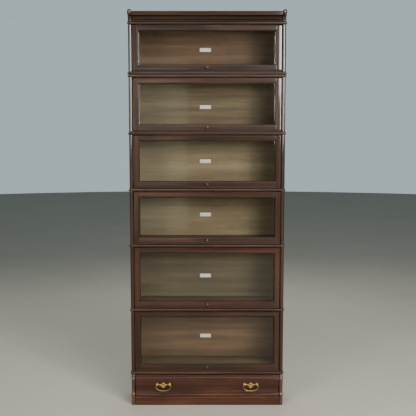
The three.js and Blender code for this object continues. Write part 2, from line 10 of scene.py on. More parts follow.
import json
import logging
import math
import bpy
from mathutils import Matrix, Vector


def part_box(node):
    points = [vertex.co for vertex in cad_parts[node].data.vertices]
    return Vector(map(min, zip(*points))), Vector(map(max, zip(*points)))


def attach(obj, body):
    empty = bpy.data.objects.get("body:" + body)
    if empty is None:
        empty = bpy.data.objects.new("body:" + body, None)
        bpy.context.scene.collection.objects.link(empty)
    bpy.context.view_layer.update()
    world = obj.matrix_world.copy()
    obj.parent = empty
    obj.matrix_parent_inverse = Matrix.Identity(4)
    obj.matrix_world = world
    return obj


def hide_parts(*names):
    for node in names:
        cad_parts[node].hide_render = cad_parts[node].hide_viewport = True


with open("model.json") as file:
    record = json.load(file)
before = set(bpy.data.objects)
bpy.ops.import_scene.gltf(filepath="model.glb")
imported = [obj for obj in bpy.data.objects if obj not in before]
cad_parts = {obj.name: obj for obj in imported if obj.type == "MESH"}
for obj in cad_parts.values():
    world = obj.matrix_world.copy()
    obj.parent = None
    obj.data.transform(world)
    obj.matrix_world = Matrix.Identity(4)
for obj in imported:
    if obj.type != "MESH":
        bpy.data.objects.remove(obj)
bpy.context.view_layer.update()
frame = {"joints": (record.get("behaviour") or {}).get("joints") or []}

import zlib
from dataclasses import dataclass, field, replace
from enum import Enum
from typing import Callable, Sequence

import bpy
import numpy as np
from mathutils import Vector

LOG = logging.getLogger("bookcase")
Colour = tuple[float, float, float]
MM = 0.001
NEAR = 4 * MM
FAR = 11 * MM
NEAR_SHARE = 0.4
END_WEAR = 0.56
END_FADE = 0.224
FIT = 0.2 * MM
ROD_PLAY = 0.4 * MM
LIP = 0.15 * MM


# ---------------------------------------------------------------- shader expressions


def linear(red: int, green: int, blue: int) -> Colour:
    """Turn a display colour into linear light.

    Args:
        red: Red, 0 to 255.
        green: Green, 0 to 255.
        blue: Blue, 0 to 255.

    Returns:
        The same colour with the display curve taken off each channel.
    """
    channels = np.array([red, green, blue]) / 255
    low = channels / 12.92
    high = ((channels + 0.055) / 1.055) ** 2.4
    return tuple(float(c) for c in np.where(channels <= 0.04045, low, high))


def linears(*colours: tuple[int, int, int]) -> list[Colour]:
    """Return display colours in linear light."""
    return [linear(*colour) for colour in colours]


def darker(colour: Colour, share: float) -> Colour:
    """Return the colour with only this share of its light."""
    return tuple(channel * share for channel in colour)


class Value:
    """A number in a material that Python operators extend with Math nodes."""

    def __init__(self, graph: Graph, socket: bpy.types.NodeSocket) -> None:
        """Wrap a socket.

        Args:
            graph: The material graph that the socket is in.
            socket: The output socket that carries the number.
        """
        self.graph = graph
        self.socket = socket

    def _math(self, operation: str, *operands: Value | float) -> Value:
        """Add one Math node.

        Args:
            operation: The Math node's operation.
            operands: Its inputs, in order.

        Returns:
            The node's result.
        """
        made = self.graph.node("ShaderNodeMath", {"operation": operation}, dict(enumerate(operands)))
        return Value(self.graph, made.outputs[0])

    def __add__(self, other: Value | float) -> Value:
        """Return self + other."""
        return self._math("ADD", self, other)

    def __radd__(self, other: Value | float) -> Value:
        """Return other + self."""
        return self._math("ADD", other, self)

    def __sub__(self, other: Value | float) -> Value:
        """Return self - other."""
        return self._math("SUBTRACT", self, other)

    def __rsub__(self, other: Value | float) -> Value:
        """Return other - self."""
        return self._math("SUBTRACT", other, self)

    def __mul__(self, other: Value | float) -> Value:
        """Return self * other."""
        return self._math("MULTIPLY", self, other)

    def __pow__(self, other: Value | float) -> Value:
        """Return self ** other."""
        return self._math("POWER", self, other)

    def clamp(self) -> Value:
        """Return the number held between 0 and 1."""
        return Value(self.graph, self.graph.node("ShaderNodeClamp", {}, {0: self}).outputs[0])

    def smooth(self, low: float, high: float) -> Value:
        """Return a smooth step from 0 at low to 1 at high, which may be the smaller one."""
        settings = {"interpolation_type": "SMOOTHSTEP"}
        made = self.graph.node("ShaderNodeMapRange", settings, {0: self, 1: low, 2: high, 3: 0.0, 4: 1.0})
        return Value(self.graph, made.outputs[0])


class Graph:
    """A material's node tree, with one method that adds any node."""

    def __init__(self, name: str) -> None:
        """Start an empty material.

        Args:
            name: The material's name.
        """
        self.material = bpy.data.materials.new(name)
        self.material.use_nodes = True
        self.tree = self.material.node_tree
        self.tree.nodes.clear()

    def node(self, kind: str, settings: dict[str, object], inputs: dict[int | str, object]) -> bpy.types.Node:
        """Add a node.

        Args:
            kind: The node's type.
            settings: Its own settings, set first; "stops" are a ramp's (place, colour) pairs.
            inputs: A value, Value or socket for each input, by name or number.

        Returns:
            The new node.
        """
        made = self.tree.nodes.new(kind)
        for key, setting in settings.items():
            if key == "stops":
                self._set_stops(made.color_ramp, setting)
            else:
                setattr(made, key, setting)
        for key, given in inputs.items():
            socket = made.inputs[key]
            if isinstance(given, Value):
                self.tree.links.new(given.socket, socket)
            elif isinstance(given, bpy.types.NodeSocket):
                self.tree.links.new(given, socket)
            elif socket.type == "RGBA" and len(given) == 3:
                socket.default_value = (*given, 1.0)
            else:
                socket.default_value = given
        return made

    @staticmethod
    def _set_stops(ramp: bpy.types.ColorRamp, stops: Sequence[tuple[float, Colour]]) -> None:
        """Give a colour ramp its stops.

        Args:
            ramp: The ramp.
            stops: Place and colour of each stop, in order.
        """
        for _ in range(len(stops) - 2):
            ramp.elements.new(0.5)
        for element, (place, colour) in zip(ramp.elements, stops):
            element.position = place
            element.color = (*colour, 1.0)

    def attribute(self, name: str) -> Value:
        """Return a number that the piece's mesh carries."""
        return Value(self, self.node("ShaderNodeAttribute", {"attribute_name": name}, {}).outputs["Fac"])

    def grain(self) -> bpy.types.NodeSocket:
        """Return the piece's own place in its timber: first number along the grain."""
        return self.node("ShaderNodeAttribute", {"attribute_name": "grain"}, {}).outputs["Vector"]

    def place(self) -> bpy.types.NodeSocket:
        """Return the Object coordinates."""
        return self.node("ShaderNodeTexCoord", {}, {}).outputs["Object"]

    def stretched(self, vector: bpy.types.NodeSocket, scale: Sequence[float]) -> bpy.types.NodeSocket:
        """Return the vector with each part multiplied by its own scale."""
        made = self.node("ShaderNodeVectorMath", {"operation": "MULTIPLY"}, {0: vector, 1: tuple(scale)})
        return made.outputs[0]

    def noise(
        self,
        vector: bpy.types.NodeSocket,
        scale: Sequence[float],
        detail: float = 3.0,
        roughness: float = 0.55,
        distortion: float = 0.0,
    ) -> Value:
        """Add a noise whose features are one over scale metres long on each axis.

        Args:
            vector: Where the noise is read.
            scale: Features per metre along each part of the vector.
            detail: Number of finer layers.
            roughness: Strength of the finer layers.
            distortion: How much the noise winds.

        Returns:
            The noise, about 0.2 to 0.8.
        """
        inputs = {
            "Vector": self.stretched(vector, scale),
            "Scale": 1.0,
            "Detail": detail,
            "Roughness": roughness,
            "Distortion": distortion,
        }
        return Value(self, self.node("ShaderNodeTexNoise", {}, inputs).outputs[0])

    def ramp(self, value: Value, stops: Sequence[tuple[float, Colour]]) -> bpy.types.NodeSocket:
        """Return the colour that the value picks from a ramp."""
        return self.node("ShaderNodeValToRGB", {"stops": stops}, {0: value}).outputs["Color"]

    def mix(self, amount: Value | float, first: object, second: object) -> bpy.types.NodeSocket:
        """Mix two colours.

        Args:
            amount: Share of the second colour.
            first: The first colour or socket.
            second: The second colour or socket.

        Returns:
            The mixed colour.
        """
        return self.node("ShaderNodeMix", {"data_type": "RGBA"}, {0: amount, 6: first, 7: second}).outputs[2]

    def bump(self, height: Value, distance: float, strength: float = 1.0) -> bpy.types.NodeSocket:
        """Return a normal raised by a height.

        Args:
            height: The height, 0 to 1.
            distance: What a height of 1 stands for, in metres.
            strength: Share of the effect that is kept.

        Returns:
            The changed normal.
        """
        inputs = {"Strength": strength, "Distance": distance, "Height": height}
        return self.node("ShaderNodeBump", {}, inputs).outputs[0]

    def surface(self, shader: bpy.types.NodeSocket) -> bpy.types.Material:
        """Connect the finished shader and return the material."""
        self.node("ShaderNodeOutputMaterial", {}, {"Surface": shader})
        return self.material

    def principled(self, inputs: dict[int | str, object]) -> bpy.types.NodeSocket:
        """Return a Principled shader with these inputs."""
        return self.node("ShaderNodeBsdfPrincipled", {}, inputs).outputs[0]


# ---------------------------------------------------------------- finishes


@dataclass(frozen=True)
class VarnishedWood:
    """Dark mahogany under an old glossy varnish, rubbed bright on its edges, with a painted highlight where
    the wear is raised on upward-facing curves.
    """

    name: str
    dark: Colour
    middle: Colour
    light: Colour
    rubbed: Colour
    gloss: float = 0.75
    polish: float = 1.4
    slot: str = "polished_wood"

    def material(self) -> bpy.types.Material:
        """Return the material: long streaks, short pores, painted shade with grime in corners and rubbed
        edges.
        """
        g = Graph(self.name)
        grain = g.grain()
        streaks = g.noise(grain, (1.6, 34, 34), 5.0, 0.62, 0.35)
        figure = g.noise(grain, (2.4, 7, 7), 2.0, 0.5, 0.6)
        fibres = g.noise(grain, (22, 620, 620), 3.0, 0.6)
        pores = g.noise(grain, (75, 1500, 1500), 1.0, 0.5).smooth(0.64, 0.72)
        patches = g.noise(g.place(), (5, 5, 5), 3.0, 0.6)
        tone = g.attribute("tone")
        wear = g.attribute("wear")
        shade = g.attribute("shade")
        depth = (streaks * 0.75 + figure * 0.45 + fibres * 0.2 + tone * 0.06 - 0.2).clamp()
        stops = [(0.2, self.dark), (0.5, self.middle), (0.82, self.light)]
        colour = g.ramp(depth, stops)
        # Rubbed colour: real wear on edges, and a painted highlight where the wear mark is raised on
        # upward-facing curves.
        rub_and_highlight = (wear * (patches * 1.5 + fibres * 0.6)).smooth(0.55, 1.0)
        colour = g.mix(rub_and_highlight * 0.75, colour, self.rubbed)
        colour = g.mix(pores * 0.55, colour, darker(self.dark, 0.35))
        # Painted shade: the shade mark, mottled like grime, darkens corners, coves and recesses; the same
        # amount also dulls the varnish.
        shade_and_grime_amount = (shade * (0.55 + patches * 0.6)).clamp()
        colour = g.mix(shade_and_grime_amount * 0.8, colour, darker(self.dark, 0.25))
        scuffs = g.noise(g.place(), (60, 60, 26), 4.0, 0.7).smooth(0.6, 0.75)
        height = g.noise(grain, (5, 22, 22), 2.0, 0.5) * 0.7 + fibres * 0.1 - pores * 0.12
        inputs = {
            "Base Color": colour,
            "Roughness": (0.34 + fibres * 0.14 + rub_and_highlight * 0.22 + scuffs * 0.15 + shade_and_grime_amount * 0.25).clamp(),
            "Coat Weight": (self.gloss - rub_and_highlight * 0.45 - scuffs * 0.3 - shade_and_grime_amount * 0.4).clamp(),
            "Coat Roughness": 0.08,
            "Coat IOR": self.polish,
            "Specular IOR Level": 0.12,
            "Normal": g.bump(height, 0.0009, 0.4),
        }
        return g.surface(g.principled(inputs))


@dataclass(frozen=True)
class BareWood:
    """Unpolished boards: backs, insides and the drawer box."""

    name: str
    dark: Colour
    middle: Colour
    light: Colour
    sheen: float = 0.12
    slot: str = "polished_wood"

    def material(self) -> bpy.types.Material:
        """Return the material: straight grain, dust and a dull thin seal."""
        g = Graph(self.name)
        grain = g.grain()
        streaks = g.noise(grain, (1.1, 26, 26), 5.0, 0.6, 0.25)
        figure = g.noise(grain, (1.8, 6, 6), 2.0, 0.5, 0.7)
        fibres = g.noise(grain, (18, 540, 540), 3.0, 0.6)
        flecks = g.noise(grain, (28, 260, 260), 2.0, 0.5).smooth(0.6, 0.7)
        dust = g.noise(g.place(), (7, 7, 7), 4.0, 0.6)
        tone = g.attribute("tone")
        shade = g.attribute("shade")
        depth = (streaks * 0.7 + figure * 0.5 + fibres * 0.22 + tone * 0.08 - 0.22).clamp()
        colour = g.ramp(depth, [(0.2, self.dark), (0.5, self.middle), (0.85, self.light)])
        colour = g.mix(flecks * 0.3, colour, darker(self.dark, 0.5))
        colour = g.mix((shade * 0.7).clamp(), colour, darker(self.dark, 0.3))
        inputs = {
            "Base Color": colour,
            "Roughness": (0.5 + fibres * 0.15 + dust * 0.25).clamp(),
            "Coat Weight": (self.sheen + dust * 0.1).clamp(),
            "Coat Roughness": 0.35,
            "Specular IOR Level": 0.35,
            "Normal": g.bump(fibres * 0.6 + streaks * 0.4 - flecks * 0.2, 0.0005, 0.7),
        }
        return g.surface(g.principled(inputs))


@dataclass(frozen=True)
class AgedMetal:
    """Cast or turned metal with patina in its hollows and bright rubbed tops."""

    name: str
    bright: Colour
    patina: Colour
    slot: str
    roughness: float = 0.28

    def material(self) -> bpy.types.Material:
        """Return the material: bright metal where it is touched, dull brown where it isn't."""
        g = Graph(self.name)
        place = g.place()
        mottle = g.noise(place, (240, 240, 240), 4.0, 0.6)
        pits = g.noise(place, (1600, 1600, 1600), 2.0, 0.5)
        wear = g.attribute("wear")
        shade = g.attribute("shade")
        dull = (shade * 0.9 + mottle * 0.9 - wear * 0.5 - 0.25).smooth(0.1, 0.75)
        colour = g.mix(dull, self.bright, self.patina)
        inputs = {
            "Base Color": colour,
            "Metallic": (1.0 - dull * 0.45).clamp(),
            "Roughness": (self.roughness + dull * 0.3 + pits * 0.1).clamp(),
            "Normal": g.bump(mottle * 0.5 + pits * 0.5, 0.00012, 0.8),
        }
        return g.surface(g.principled(inputs))


@dataclass(frozen=True)
class OldGlass:
    """Thin drawn glass: clear, a little green, with a soft film of dust."""

    name: str = "old_drawn_glass"
    slot: str = "pane_glass"
    mirror_share: float = 0.034
    film_share: float = 0.012

    def material(self) -> bpy.types.Material:
        """Return the material: clear glass mixed with its mirror, more of it the more slanting the view.

        The share of mirror is the same on both faces, so that the pane stays clear from the side.
        """
        g = Graph(self.name)
        place = g.place()
        waves = g.noise(place, (7, 1, 3.2), 2.0, 0.5)
        film = g.noise(place, (3.0, 3.0, 3.0), 4.0, 0.65)
        normal = g.bump(waves, 0.0012, 0.15)
        mirror = g.principled(
            {
                "Base Color": (0.54, 0.53, 0.47),
                "Roughness": (0.02 + film * 0.06).clamp(),
                "Specular IOR Level": 1.0,
                "Metallic": 1.0,
                "Normal": normal,
            }
        )
        clear = g.node("ShaderNodeBsdfTransparent", {}, {"Color": (0.955, 0.96, 0.945)}).outputs[0]
        facing = g.node("ShaderNodeLayerWeight", {}, {"Blend": 0.5, "Normal": normal})
        slant = Value(g, facing.outputs["Facing"])
        amount = (slant**5 * 0.96 + self.mirror_share + film.smooth(0.45, 0.85) * self.film_share).clamp()
        return g.surface(g.node("ShaderNodeMixShader", {}, {0: amount, 1: clear, 2: mirror}).outputs[0])


@dataclass(frozen=True)
class PaintedPlate:
    """A small ivory-coloured plate, blank, with a yellowed edge."""

    name: str = "ivory_plate"
    slot: str = "plain_wood"

    def material(self) -> bpy.types.Material:
        """Return the material: warm white with a faint mottled stain."""
        g = Graph(self.name)
        stain = g.noise(g.place(), (90, 90, 90), 4.0, 0.6)
        wear = g.attribute("wear")
        yellowed = (stain.smooth(0.45, 0.8) * 0.5 + wear * 0.35).clamp()
        colour = g.mix(yellowed, linear(250, 249, 238), linear(218, 206, 172))
        inputs = {
            "Base Color": colour,
            "Roughness": (0.38 + stain * 0.2).clamp(),
            "Normal": g.bump(stain, 0.0002, 0.5),
        }
        return g.surface(g.principled(inputs))


@dataclass(frozen=True)
class PaleFloor:
    """A plain pale floor."""

    name: str = "pale_floor"

    def material(self) -> bpy.types.Material:
        """Return the material: matt, with a barely visible unevenness."""
        g = Graph(self.name)
        uneven = g.noise(g.place(), (1.3, 1.3, 1.3), 4.0, 0.5)
        inputs = {
            "Base Color": g.mix(uneven, linear(186, 177, 161), linear(195, 187, 172)),
            "Roughness": (0.6 + uneven * 0.2).clamp(),
        }
        return g.surface(g.principled(inputs))


class Finish(Enum):
    """Every finish on the bookcase."""

    CORNICE_WOOD = VarnishedWood(
        "cornice_mahogany", *linears((24, 13, 8), (44, 28, 18), (74, 51, 36), (108, 70, 42)), 0.55
    )
    TOP_WOOD = VarnishedWood(
        "top_mahogany", *linears((28, 19, 14), (50, 36, 29), (82, 61, 50), (112, 77, 52)), 0.85
    )
    UPPER_WOOD = VarnishedWood(
        "upper_mahogany", *linears((32, 21, 16), (61, 43, 34), (94, 68, 54), (120, 82, 54)), 0.85
    )
    MIDDLE_WOOD = VarnishedWood(
        "middle_mahogany", *linears((28, 17, 12), (56, 36, 25), (88, 58, 41), (116, 74, 44)), 0.8
    )
    LOW_WOOD = VarnishedWood(
        "low_mahogany", *linears((25, 14, 9), (53, 30, 19), (84, 50, 33), (116, 68, 38)), 0.8
    )
    BASE_WOOD = VarnishedWood(
        "base_mahogany", *linears((25, 11, 6), (57, 29, 16), (93, 52, 31), (140, 80, 44)), 0.85
    )
    CORNICE_POST = replace(CORNICE_WOOD, name="cornice_posts", gloss=0.95, polish=1.7)
    TOP_POST = replace(TOP_WOOD, name="top_posts", gloss=1.0, polish=1.75)
    UPPER_POST = replace(UPPER_WOOD, name="upper_posts", gloss=1.0, polish=1.7)
    MIDDLE_POST = replace(MIDDLE_WOOD, name="middle_posts", gloss=1.0, polish=1.6)
    LOW_POST = replace(LOW_WOOD, name="low_posts", gloss=0.9, polish=1.45)
    BASE_POST = replace(BASE_WOOD, name="base_posts", gloss=1.0, polish=1.75)
    BEAD_WOOD = replace(MIDDLE_WOOD, name="bead_mahogany", gloss=0.1)
    # Painted shade: the sill is stained near black so that it reads as the shadow gap under each door.
    SILL_WOOD = BareWood("sill_mahogany", *linears((20, 10, 5), (38, 21, 12), (60, 36, 22)), 0.05)
    BACK_WOOD = BareWood("back_boards", *linears((82, 66, 46), (127, 109, 81), (166, 148, 117)), 0.15)
    DARK_BACK = BareWood("dark_back_boards", *linears((50, 40, 28), (84, 71, 52), (116, 100, 75)), 0.15)
    RED_BACK = BareWood("red_back_boards", *linears((62, 44, 30), (101, 75, 53), (138, 108, 81)), 0.15)
    INNER_WOOD = BareWood("inner_boards", *linears((56, 42, 29), (91, 73, 52), (122, 102, 76)), 0.12)
    DRAWER_WOOD = BareWood(
        "drawer_boards", *linears((96, 70, 46), (140, 108, 74), (168, 138, 102)), 0.05, "plain_wood"
    )
    GLASS = OldGlass()
    BRASS = AgedMetal("aged_brass", *linears((214, 176, 98), (70, 52, 26)), "pull_brass", 0.3)
    DARK_BRASS = AgedMetal("dark_brass", *linears((150, 136, 92), (62, 58, 38)), "pull_brass", 0.34)
    BRONZE = AgedMetal("dark_bronze", *linears((112, 86, 56), (38, 27, 19)), "knob_bronze", 0.22)
    STEEL = AgedMetal("dull_steel", *linears((150, 146, 140), (72, 62, 54)), "rod_steel", 0.35)
    IVORY = PaintedPlate()


MATERIALS: dict[Finish, bpy.types.Material] = {}
POSTS = {
    Finish.CORNICE_WOOD: Finish.CORNICE_POST,
    Finish.TOP_WOOD: Finish.TOP_POST,
    Finish.UPPER_WOOD: Finish.UPPER_POST,
    Finish.MIDDLE_WOOD: Finish.MIDDLE_POST,
    Finish.LOW_WOOD: Finish.LOW_POST,
    Finish.BASE_WOOD: Finish.BASE_POST,
}


def material_of(finish: Finish) -> bpy.types.Material:
    """Return the finish's material, made the first time that it is asked for."""
    if finish not in MATERIALS:
        MATERIALS[finish] = finish.value.material()
    return MATERIALS[finish]


# ---------------------------------------------------------------- outlines and surfaces


@dataclass
class Outline:
    """A closed flat outline with how rubbed and how shaded each of its points is."""

    points: np.ndarray
    wear: np.ndarray
    shade: np.ndarray
    way: np.ndarray | None = None

    def facing_out(self) -> Outline:
        """Return the outline walked so that its inside is on the left."""
        x, y = self.points.T
        area = np.sum(x * np.roll(y, -1) - np.roll(x, -1) * y)
        return self if area > 0 else Outline(self.points[::-1], self.wear[::-1], self.shade[::-1])

    def normals(self) -> np.ndarray:
        """Return the outward direction at each point: its neighbours' chord turned a quarter right."""
        chord = np.roll(self.points, -1, 0) - np.roll(self.points, 1, 0)
        turned = np.stack([chord[:, 1], -chord[:, 0]], 1)
        return turned / np.maximum(np.linalg.norm(turned, axis=1, keepdims=True), 1e-12)

    def tucked(self, inset: np.ndarray) -> np.ndarray:
        """Return the points moved by each inset: inwards, or along their own way where they have one."""
        way = -self.normals() if self.way is None else self.way
        return self.points[None] + way[None] * inset[:, None, None]


def arc(centre: Sequence[float], radii: Sequence[float], turn: np.ndarray) -> np.ndarray:
    """Return the points centre + (r cos a, s sin a) of an ellipse, for radii r and s and each angle a."""
    return np.stack([centre[0] + radii[0] * np.cos(turn), centre[1] + radii[1] * np.sin(turn)], 1)


def stitched(*parts: Sequence[Sequence[float]]) -> np.ndarray:
    """Return the points of several runs as one list."""
    return np.concatenate([np.asarray(part, float) for part in parts])


def bell(x: np.ndarray, centre: float, width: float) -> np.ndarray:
    """Return the bell curve exp(-((x - centre) / width)^2)."""
    return np.exp(-(((x - centre) / width) ** 2))


def filleted(
    corners: Sequence[Sequence[float]],
    radius: float | Sequence[float] = 1.2 * MM,
    wear: float | Sequence[float] = 1.0,
    shade: float | Sequence[float] = 0.0,
    steps: int = 3,
) -> Outline:
    """Round every corner of a polygon and add margin points along its long sides.

    Each corner becomes the quadratic curve that leaves one side and meets the other at the same distance
    from the corner, which is the radius over the tangent of half the corner's angle.

    Args:
        corners: The corners in order.
        radius: One radius, or one for each corner; 0 keeps the point as it is.
        wear: How rubbed the corners are, 0 to 1.
        shade: How much painted shade and grime the corners get, 0 to 1.
        steps: Pieces in each rounding.

    Returns:
        The outline.
    """
    p = np.asarray(corners, float)
    count = len(p)
    radii, rubbed, shade_and_grime = (np.broadcast_to(np.asarray(v, float), count) for v in (radius, wear, shade))
    before, after = np.roll(p, 1, 0) - p, np.roll(p, -1, 0) - p
    reach_before, reach_after = np.linalg.norm(before, axis=1), np.linalg.norm(after, axis=1)
    before, after = before / reach_before[:, None], after / reach_after[:, None]
    half = np.arccos(np.clip(np.sum(before * after, 1), -1, 1)) / 2
    reach = np.minimum(radii / np.maximum(np.tan(half), 0.05), 0.45 * np.minimum(reach_before, reach_after))
    s = np.linspace(0, 1, steps + 1)[None, :, None]
    start, stop = p + before * reach[:, None], p + after * reach[:, None]
    curve = (1 - s) ** 2 * start[:, None] + 2 * s * (1 - s) * p[:, None] + s**2 * stop[:, None]
    swell = 0.5 + 0.5 * np.sin(np.pi * s[..., 0])
    points = curve.reshape(-1, 2)
    marks = np.stack([(rubbed[:, None] * swell).ravel(), np.repeat(shade_and_grime, steps + 1)], 1)
    kept = np.linalg.norm(points - np.roll(points, 1, 0), axis=1) > 1e-6
    return margined(points[kept], marks[kept])


def margined(points: np.ndarray, marks: np.ndarray) -> Outline:
    """Add points beside the ends of every long side, so that rubbing and the painted shade with grime fade
    out along it.

    They are weak at NEAR from the end of a side and gone at FAR.

    Args:
        points: The outline's points.
        marks: Wear and shade at each point.

    Returns:
        The outline with the added points.
    """
    span = np.roll(points, -1, 0) - points
    length = np.linalg.norm(span, axis=1)
    index = np.nonzero(length > 2.6 * FAR)[0]
    unit = span[index] / length[index, None]
    following = (index + 1) % len(points)
    fresh = [
        (points[index] + unit * NEAR, marks[index] * NEAR_SHARE),
        (points[index] + unit * FAR, marks[index] * 0),
        (points[following] - unit * FAR, marks[index] * 0),
        (points[following] - unit * NEAR, marks[following] * NEAR_SHARE),
    ]
    places = np.concatenate([np.arange(len(points))] + [index + 0.2 * (k + 1) for k in range(4)])
    order = np.argsort(places, kind="stable")
    all_points = np.concatenate([points] + [f[0] for f in fresh])[order]
    all_marks = np.concatenate([marks] + [f[1] for f in fresh])[order]
    return Outline(all_points, all_marks[:, 0], all_marks[:, 1]).facing_out()


@dataclass
class Surface:
    """Points and faces of one closed piece, with its marks."""

    points: np.ndarray
    faces: list[tuple[int, ...]]
    wear: np.ndarray
    shade: np.ndarray
    flat: np.ndarray = field(default_factory=lambda: np.zeros(0, int))

    def moved(self, change: Callable[[np.ndarray], np.ndarray]) -> Surface:
        """Return the surface with its points changed by a function of all of them."""
        return Surface(change(self.points), self.faces, self.wear, self.shade, self.flat)


def joined(surfaces: Sequence[Surface]) -> Surface:
    """Put several closed surfaces into one mesh.

    Args:
        surfaces: The surfaces.

    Returns:
        One surface that holds them all.
    """
    points, faces, flat = [], [], []
    offset = 0
    face_offset = 0
    for part in surfaces:
        points.append(part.points)
        faces += [tuple(i + offset for i in face) for face in part.faces]
        flat.append(part.flat + face_offset)
        offset += len(part.points)
        face_offset += len(part.faces)
    wear = np.concatenate([s.wear for s in surfaces])
    shade = np.concatenate([s.shade for s in surfaces])
    return Surface(np.concatenate(points), faces, wear, shade, np.concatenate(flat))


def grid_faces(rows: int, columns: int, closed: bool) -> np.ndarray:
    """Return the quads of a grid of points, walked along its columns first.

    Args:
        rows: Number of rows.
        columns: Number of points in a row.
        closed: Whether each row's end joins its start.

    Returns:
        Four indices for each quad.
    """
    j, i = np.meshgrid(np.arange(rows - 1), np.arange(columns if closed else columns - 1), indexing="ij")
    following = (i + 1) % columns
    quads = [j * columns + i, j * columns + following, (j + 1) * columns + following, (j + 1) * columns + i]
    return np.stack(quads, -1).reshape(-1, 4)


class Axis(Enum):
    """The way a member runs, with the order in which its run and its outline fill x, y and z."""

    X = (2, 0, 1)
    Y = (1, 2, 0)
    Z = (0, 1, 2)


def member(
    outline: Outline,
    axis: Axis,
    start: float,
    stop: float,
    arris: float = 1.0 * MM,
    spacing: float = 60 * MM,
    stations: Sequence[float] = (),
    carve: Callable[[np.ndarray, np.ndarray], np.ndarray] | None = None,
) -> Surface:
    """Run an outline along an axis, with rounded ends.

    A point is outline(i) + way(i) * inset(j) at run(j), and the way is inwards unless the outline has its
    own. In an end's rounding of radius r the inset is r (1 - sin a) and the run r (1 - cos a), for a from 0
    to a quarter turn.

    Args:
        outline: The cross-section: (y, z) for a run along X, (z, x) along Y, (x, y) along Z.
        axis: The way of the run.
        start: Where it starts.
        stop: Where it stops.
        arris: Radius of the rounded ends.
        spacing: Largest distance between stations.
        stations: Extra stations.
        carve: Change of the cross-section points, from their places and the stations.

    Returns:
        The closed surface.
    """
    quarter = np.linspace(0, np.pi / 2, 6 if arris > 4 * MM else 4)
    inset = arris * (1 - np.sin(quarter))
    lead = arris * (1 - np.cos(quarter))
    margin = np.array([NEAR, FAR]) + arris
    length = stop - start
    if length < 2.5 * margin[1]:
        margin = margin[:0]
    first = margin[-1] if len(margin) else arris
    inner = np.linspace(first, length - first, max(2, int(math.ceil((length - 2 * first) / spacing)) + 1))
    inner = inner[1:-1] if len(margin) or length > 2.2 * arris else inner[:0]
    run = np.concatenate([lead, margin, inner, length - margin[::-1], length - lead[::-1]])
    tuck = np.concatenate([inset, np.zeros(len(margin) * 2 + len(inner)), inset[::-1]])
    end_wear = np.zeros(len(run))
    end_wear[: len(lead)] = end_wear[-len(lead) :] = END_WEAR
    if len(margin):
        end_wear[[len(lead), -len(lead) - 1]] = END_FADE
    extra = np.asarray(stations, float) - start
    track = np.concatenate([[run, tuck, end_wear], [extra, extra * 0, extra * 0]], 1)
    run, tuck, end_wear = track[:, np.argsort(track[0], kind="stable")]
    run = run + start
    section = outline.tucked(tuck)
    if carve is not None:
        section = carve(section, run)
    rows, columns = section.shape[:2]
    grid = np.concatenate([section, np.broadcast_to(run[:, None, None], (rows, columns, 1))], 2)
    points = grid.reshape(-1, 3)[:, list(axis.value)]
    wear = np.maximum(outline.wear[None], end_wear[:, None]).ravel()
    shade = np.broadcast_to(outline.shade[None], (rows, columns)).ravel()
    faces = [tuple(q) for q in grid_faces(rows, columns, True).tolist()]
    faces += [tuple(range(columns))[::-1], tuple(range((rows - 1) * columns, rows * columns))]
    return Surface(points, faces, wear, shade, np.array([len(faces) - 2, len(faces) - 1]))


def board(
    low: Sequence[float],
    high: Sequence[float],
    axis: Axis,
    arris: float = 1.0 * MM,
    **marks: float,
) -> Surface:
    """Make a rectangular board with eased edges.

    Args:
        low: Lowest corner.
        high: Highest corner.
        axis: The way its grain runs.
        arris: Radius of all its edges.
        marks: Wear and shade for its edges.

    Returns:
        The closed surface.
    """
    across, up = {Axis.X: (1, 2), Axis.Y: (2, 0), Axis.Z: (0, 1)}[axis]
    along = 3 - across - up
    corners = [
        (low[across], low[up]),
        (high[across], low[up]),
        (high[across], high[up]),
        (low[across], high[up]),
    ]
    return member(filleted(corners, arris, **marks), axis, low[along], high[along], arris)


def capped(rings: np.ndarray, ends: np.ndarray, wear: np.ndarray, shade: np.ndarray) -> Surface:
    """Join rings of points into a skin and close each end with a fan.

    Args:
        rings: Points of each ring, as rows and columns.
        ends: The two points that the fans meet in.
        wear: Wear at each point, the two ends last.
        shade: Shade at each point, likewise.

    Returns:
        The closed surface.
    """
    rows, sides = rings.shape[:2]
    i = np.arange(sides)
    following = (i + 1) % sides
    last = (rows - 1) * sides
    first_fan = np.stack([np.full(sides, rows * sides), following, i], 1)
    last_fan = np.stack([np.full(sides, rows * sides + 1), last + i, last + following], 1)
    faces = [tuple(f) for part in (grid_faces(rows, sides, True), first_fan, last_fan) for f in part.tolist()]
    return Surface(np.concatenate([rings.reshape(-1, 3), ends]), faces, wear, shade)


def slab(
    front: np.ndarray,
    back: np.ndarray,
    wear: np.ndarray,
    shade: np.ndarray,
    mirrored: bool = False,
) -> Surface:
    """Close two facing grids of points with a wall round their rims.

    Args:
        front: Points of the front, as rows and columns.
        back: Points of the back, behind them.
        wear: Wear at each point, the front's first.
        shade: Shade at each point, likewise.
        mirrored: Whether a row is upright and the rows follow one another to the right.

    Returns:
        The closed surface.
    """
    rows, columns = front.shape[:2]
    count = rows * columns
    index = np.arange(count).reshape(rows, columns)
    quads = grid_faces(rows, columns, False)
    rim = np.concatenate([index[0], index[1:, -1], index[-1, -2::-1], index[-2:0:-1, 0]])
    if mirrored:
        quads, rim = quads[:, ::-1], rim[::-1]
    following = np.roll(rim, -1)
    walls = np.stack([rim, rim + count, following + count, following], 1)
    faces = [tuple(f) for part in (quads, quads[:, ::-1] + count, walls) for f in part.tolist()]
    return Surface(np.concatenate([front.reshape(-1, 3), back.reshape(-1, 3)]), faces, wear, shade)


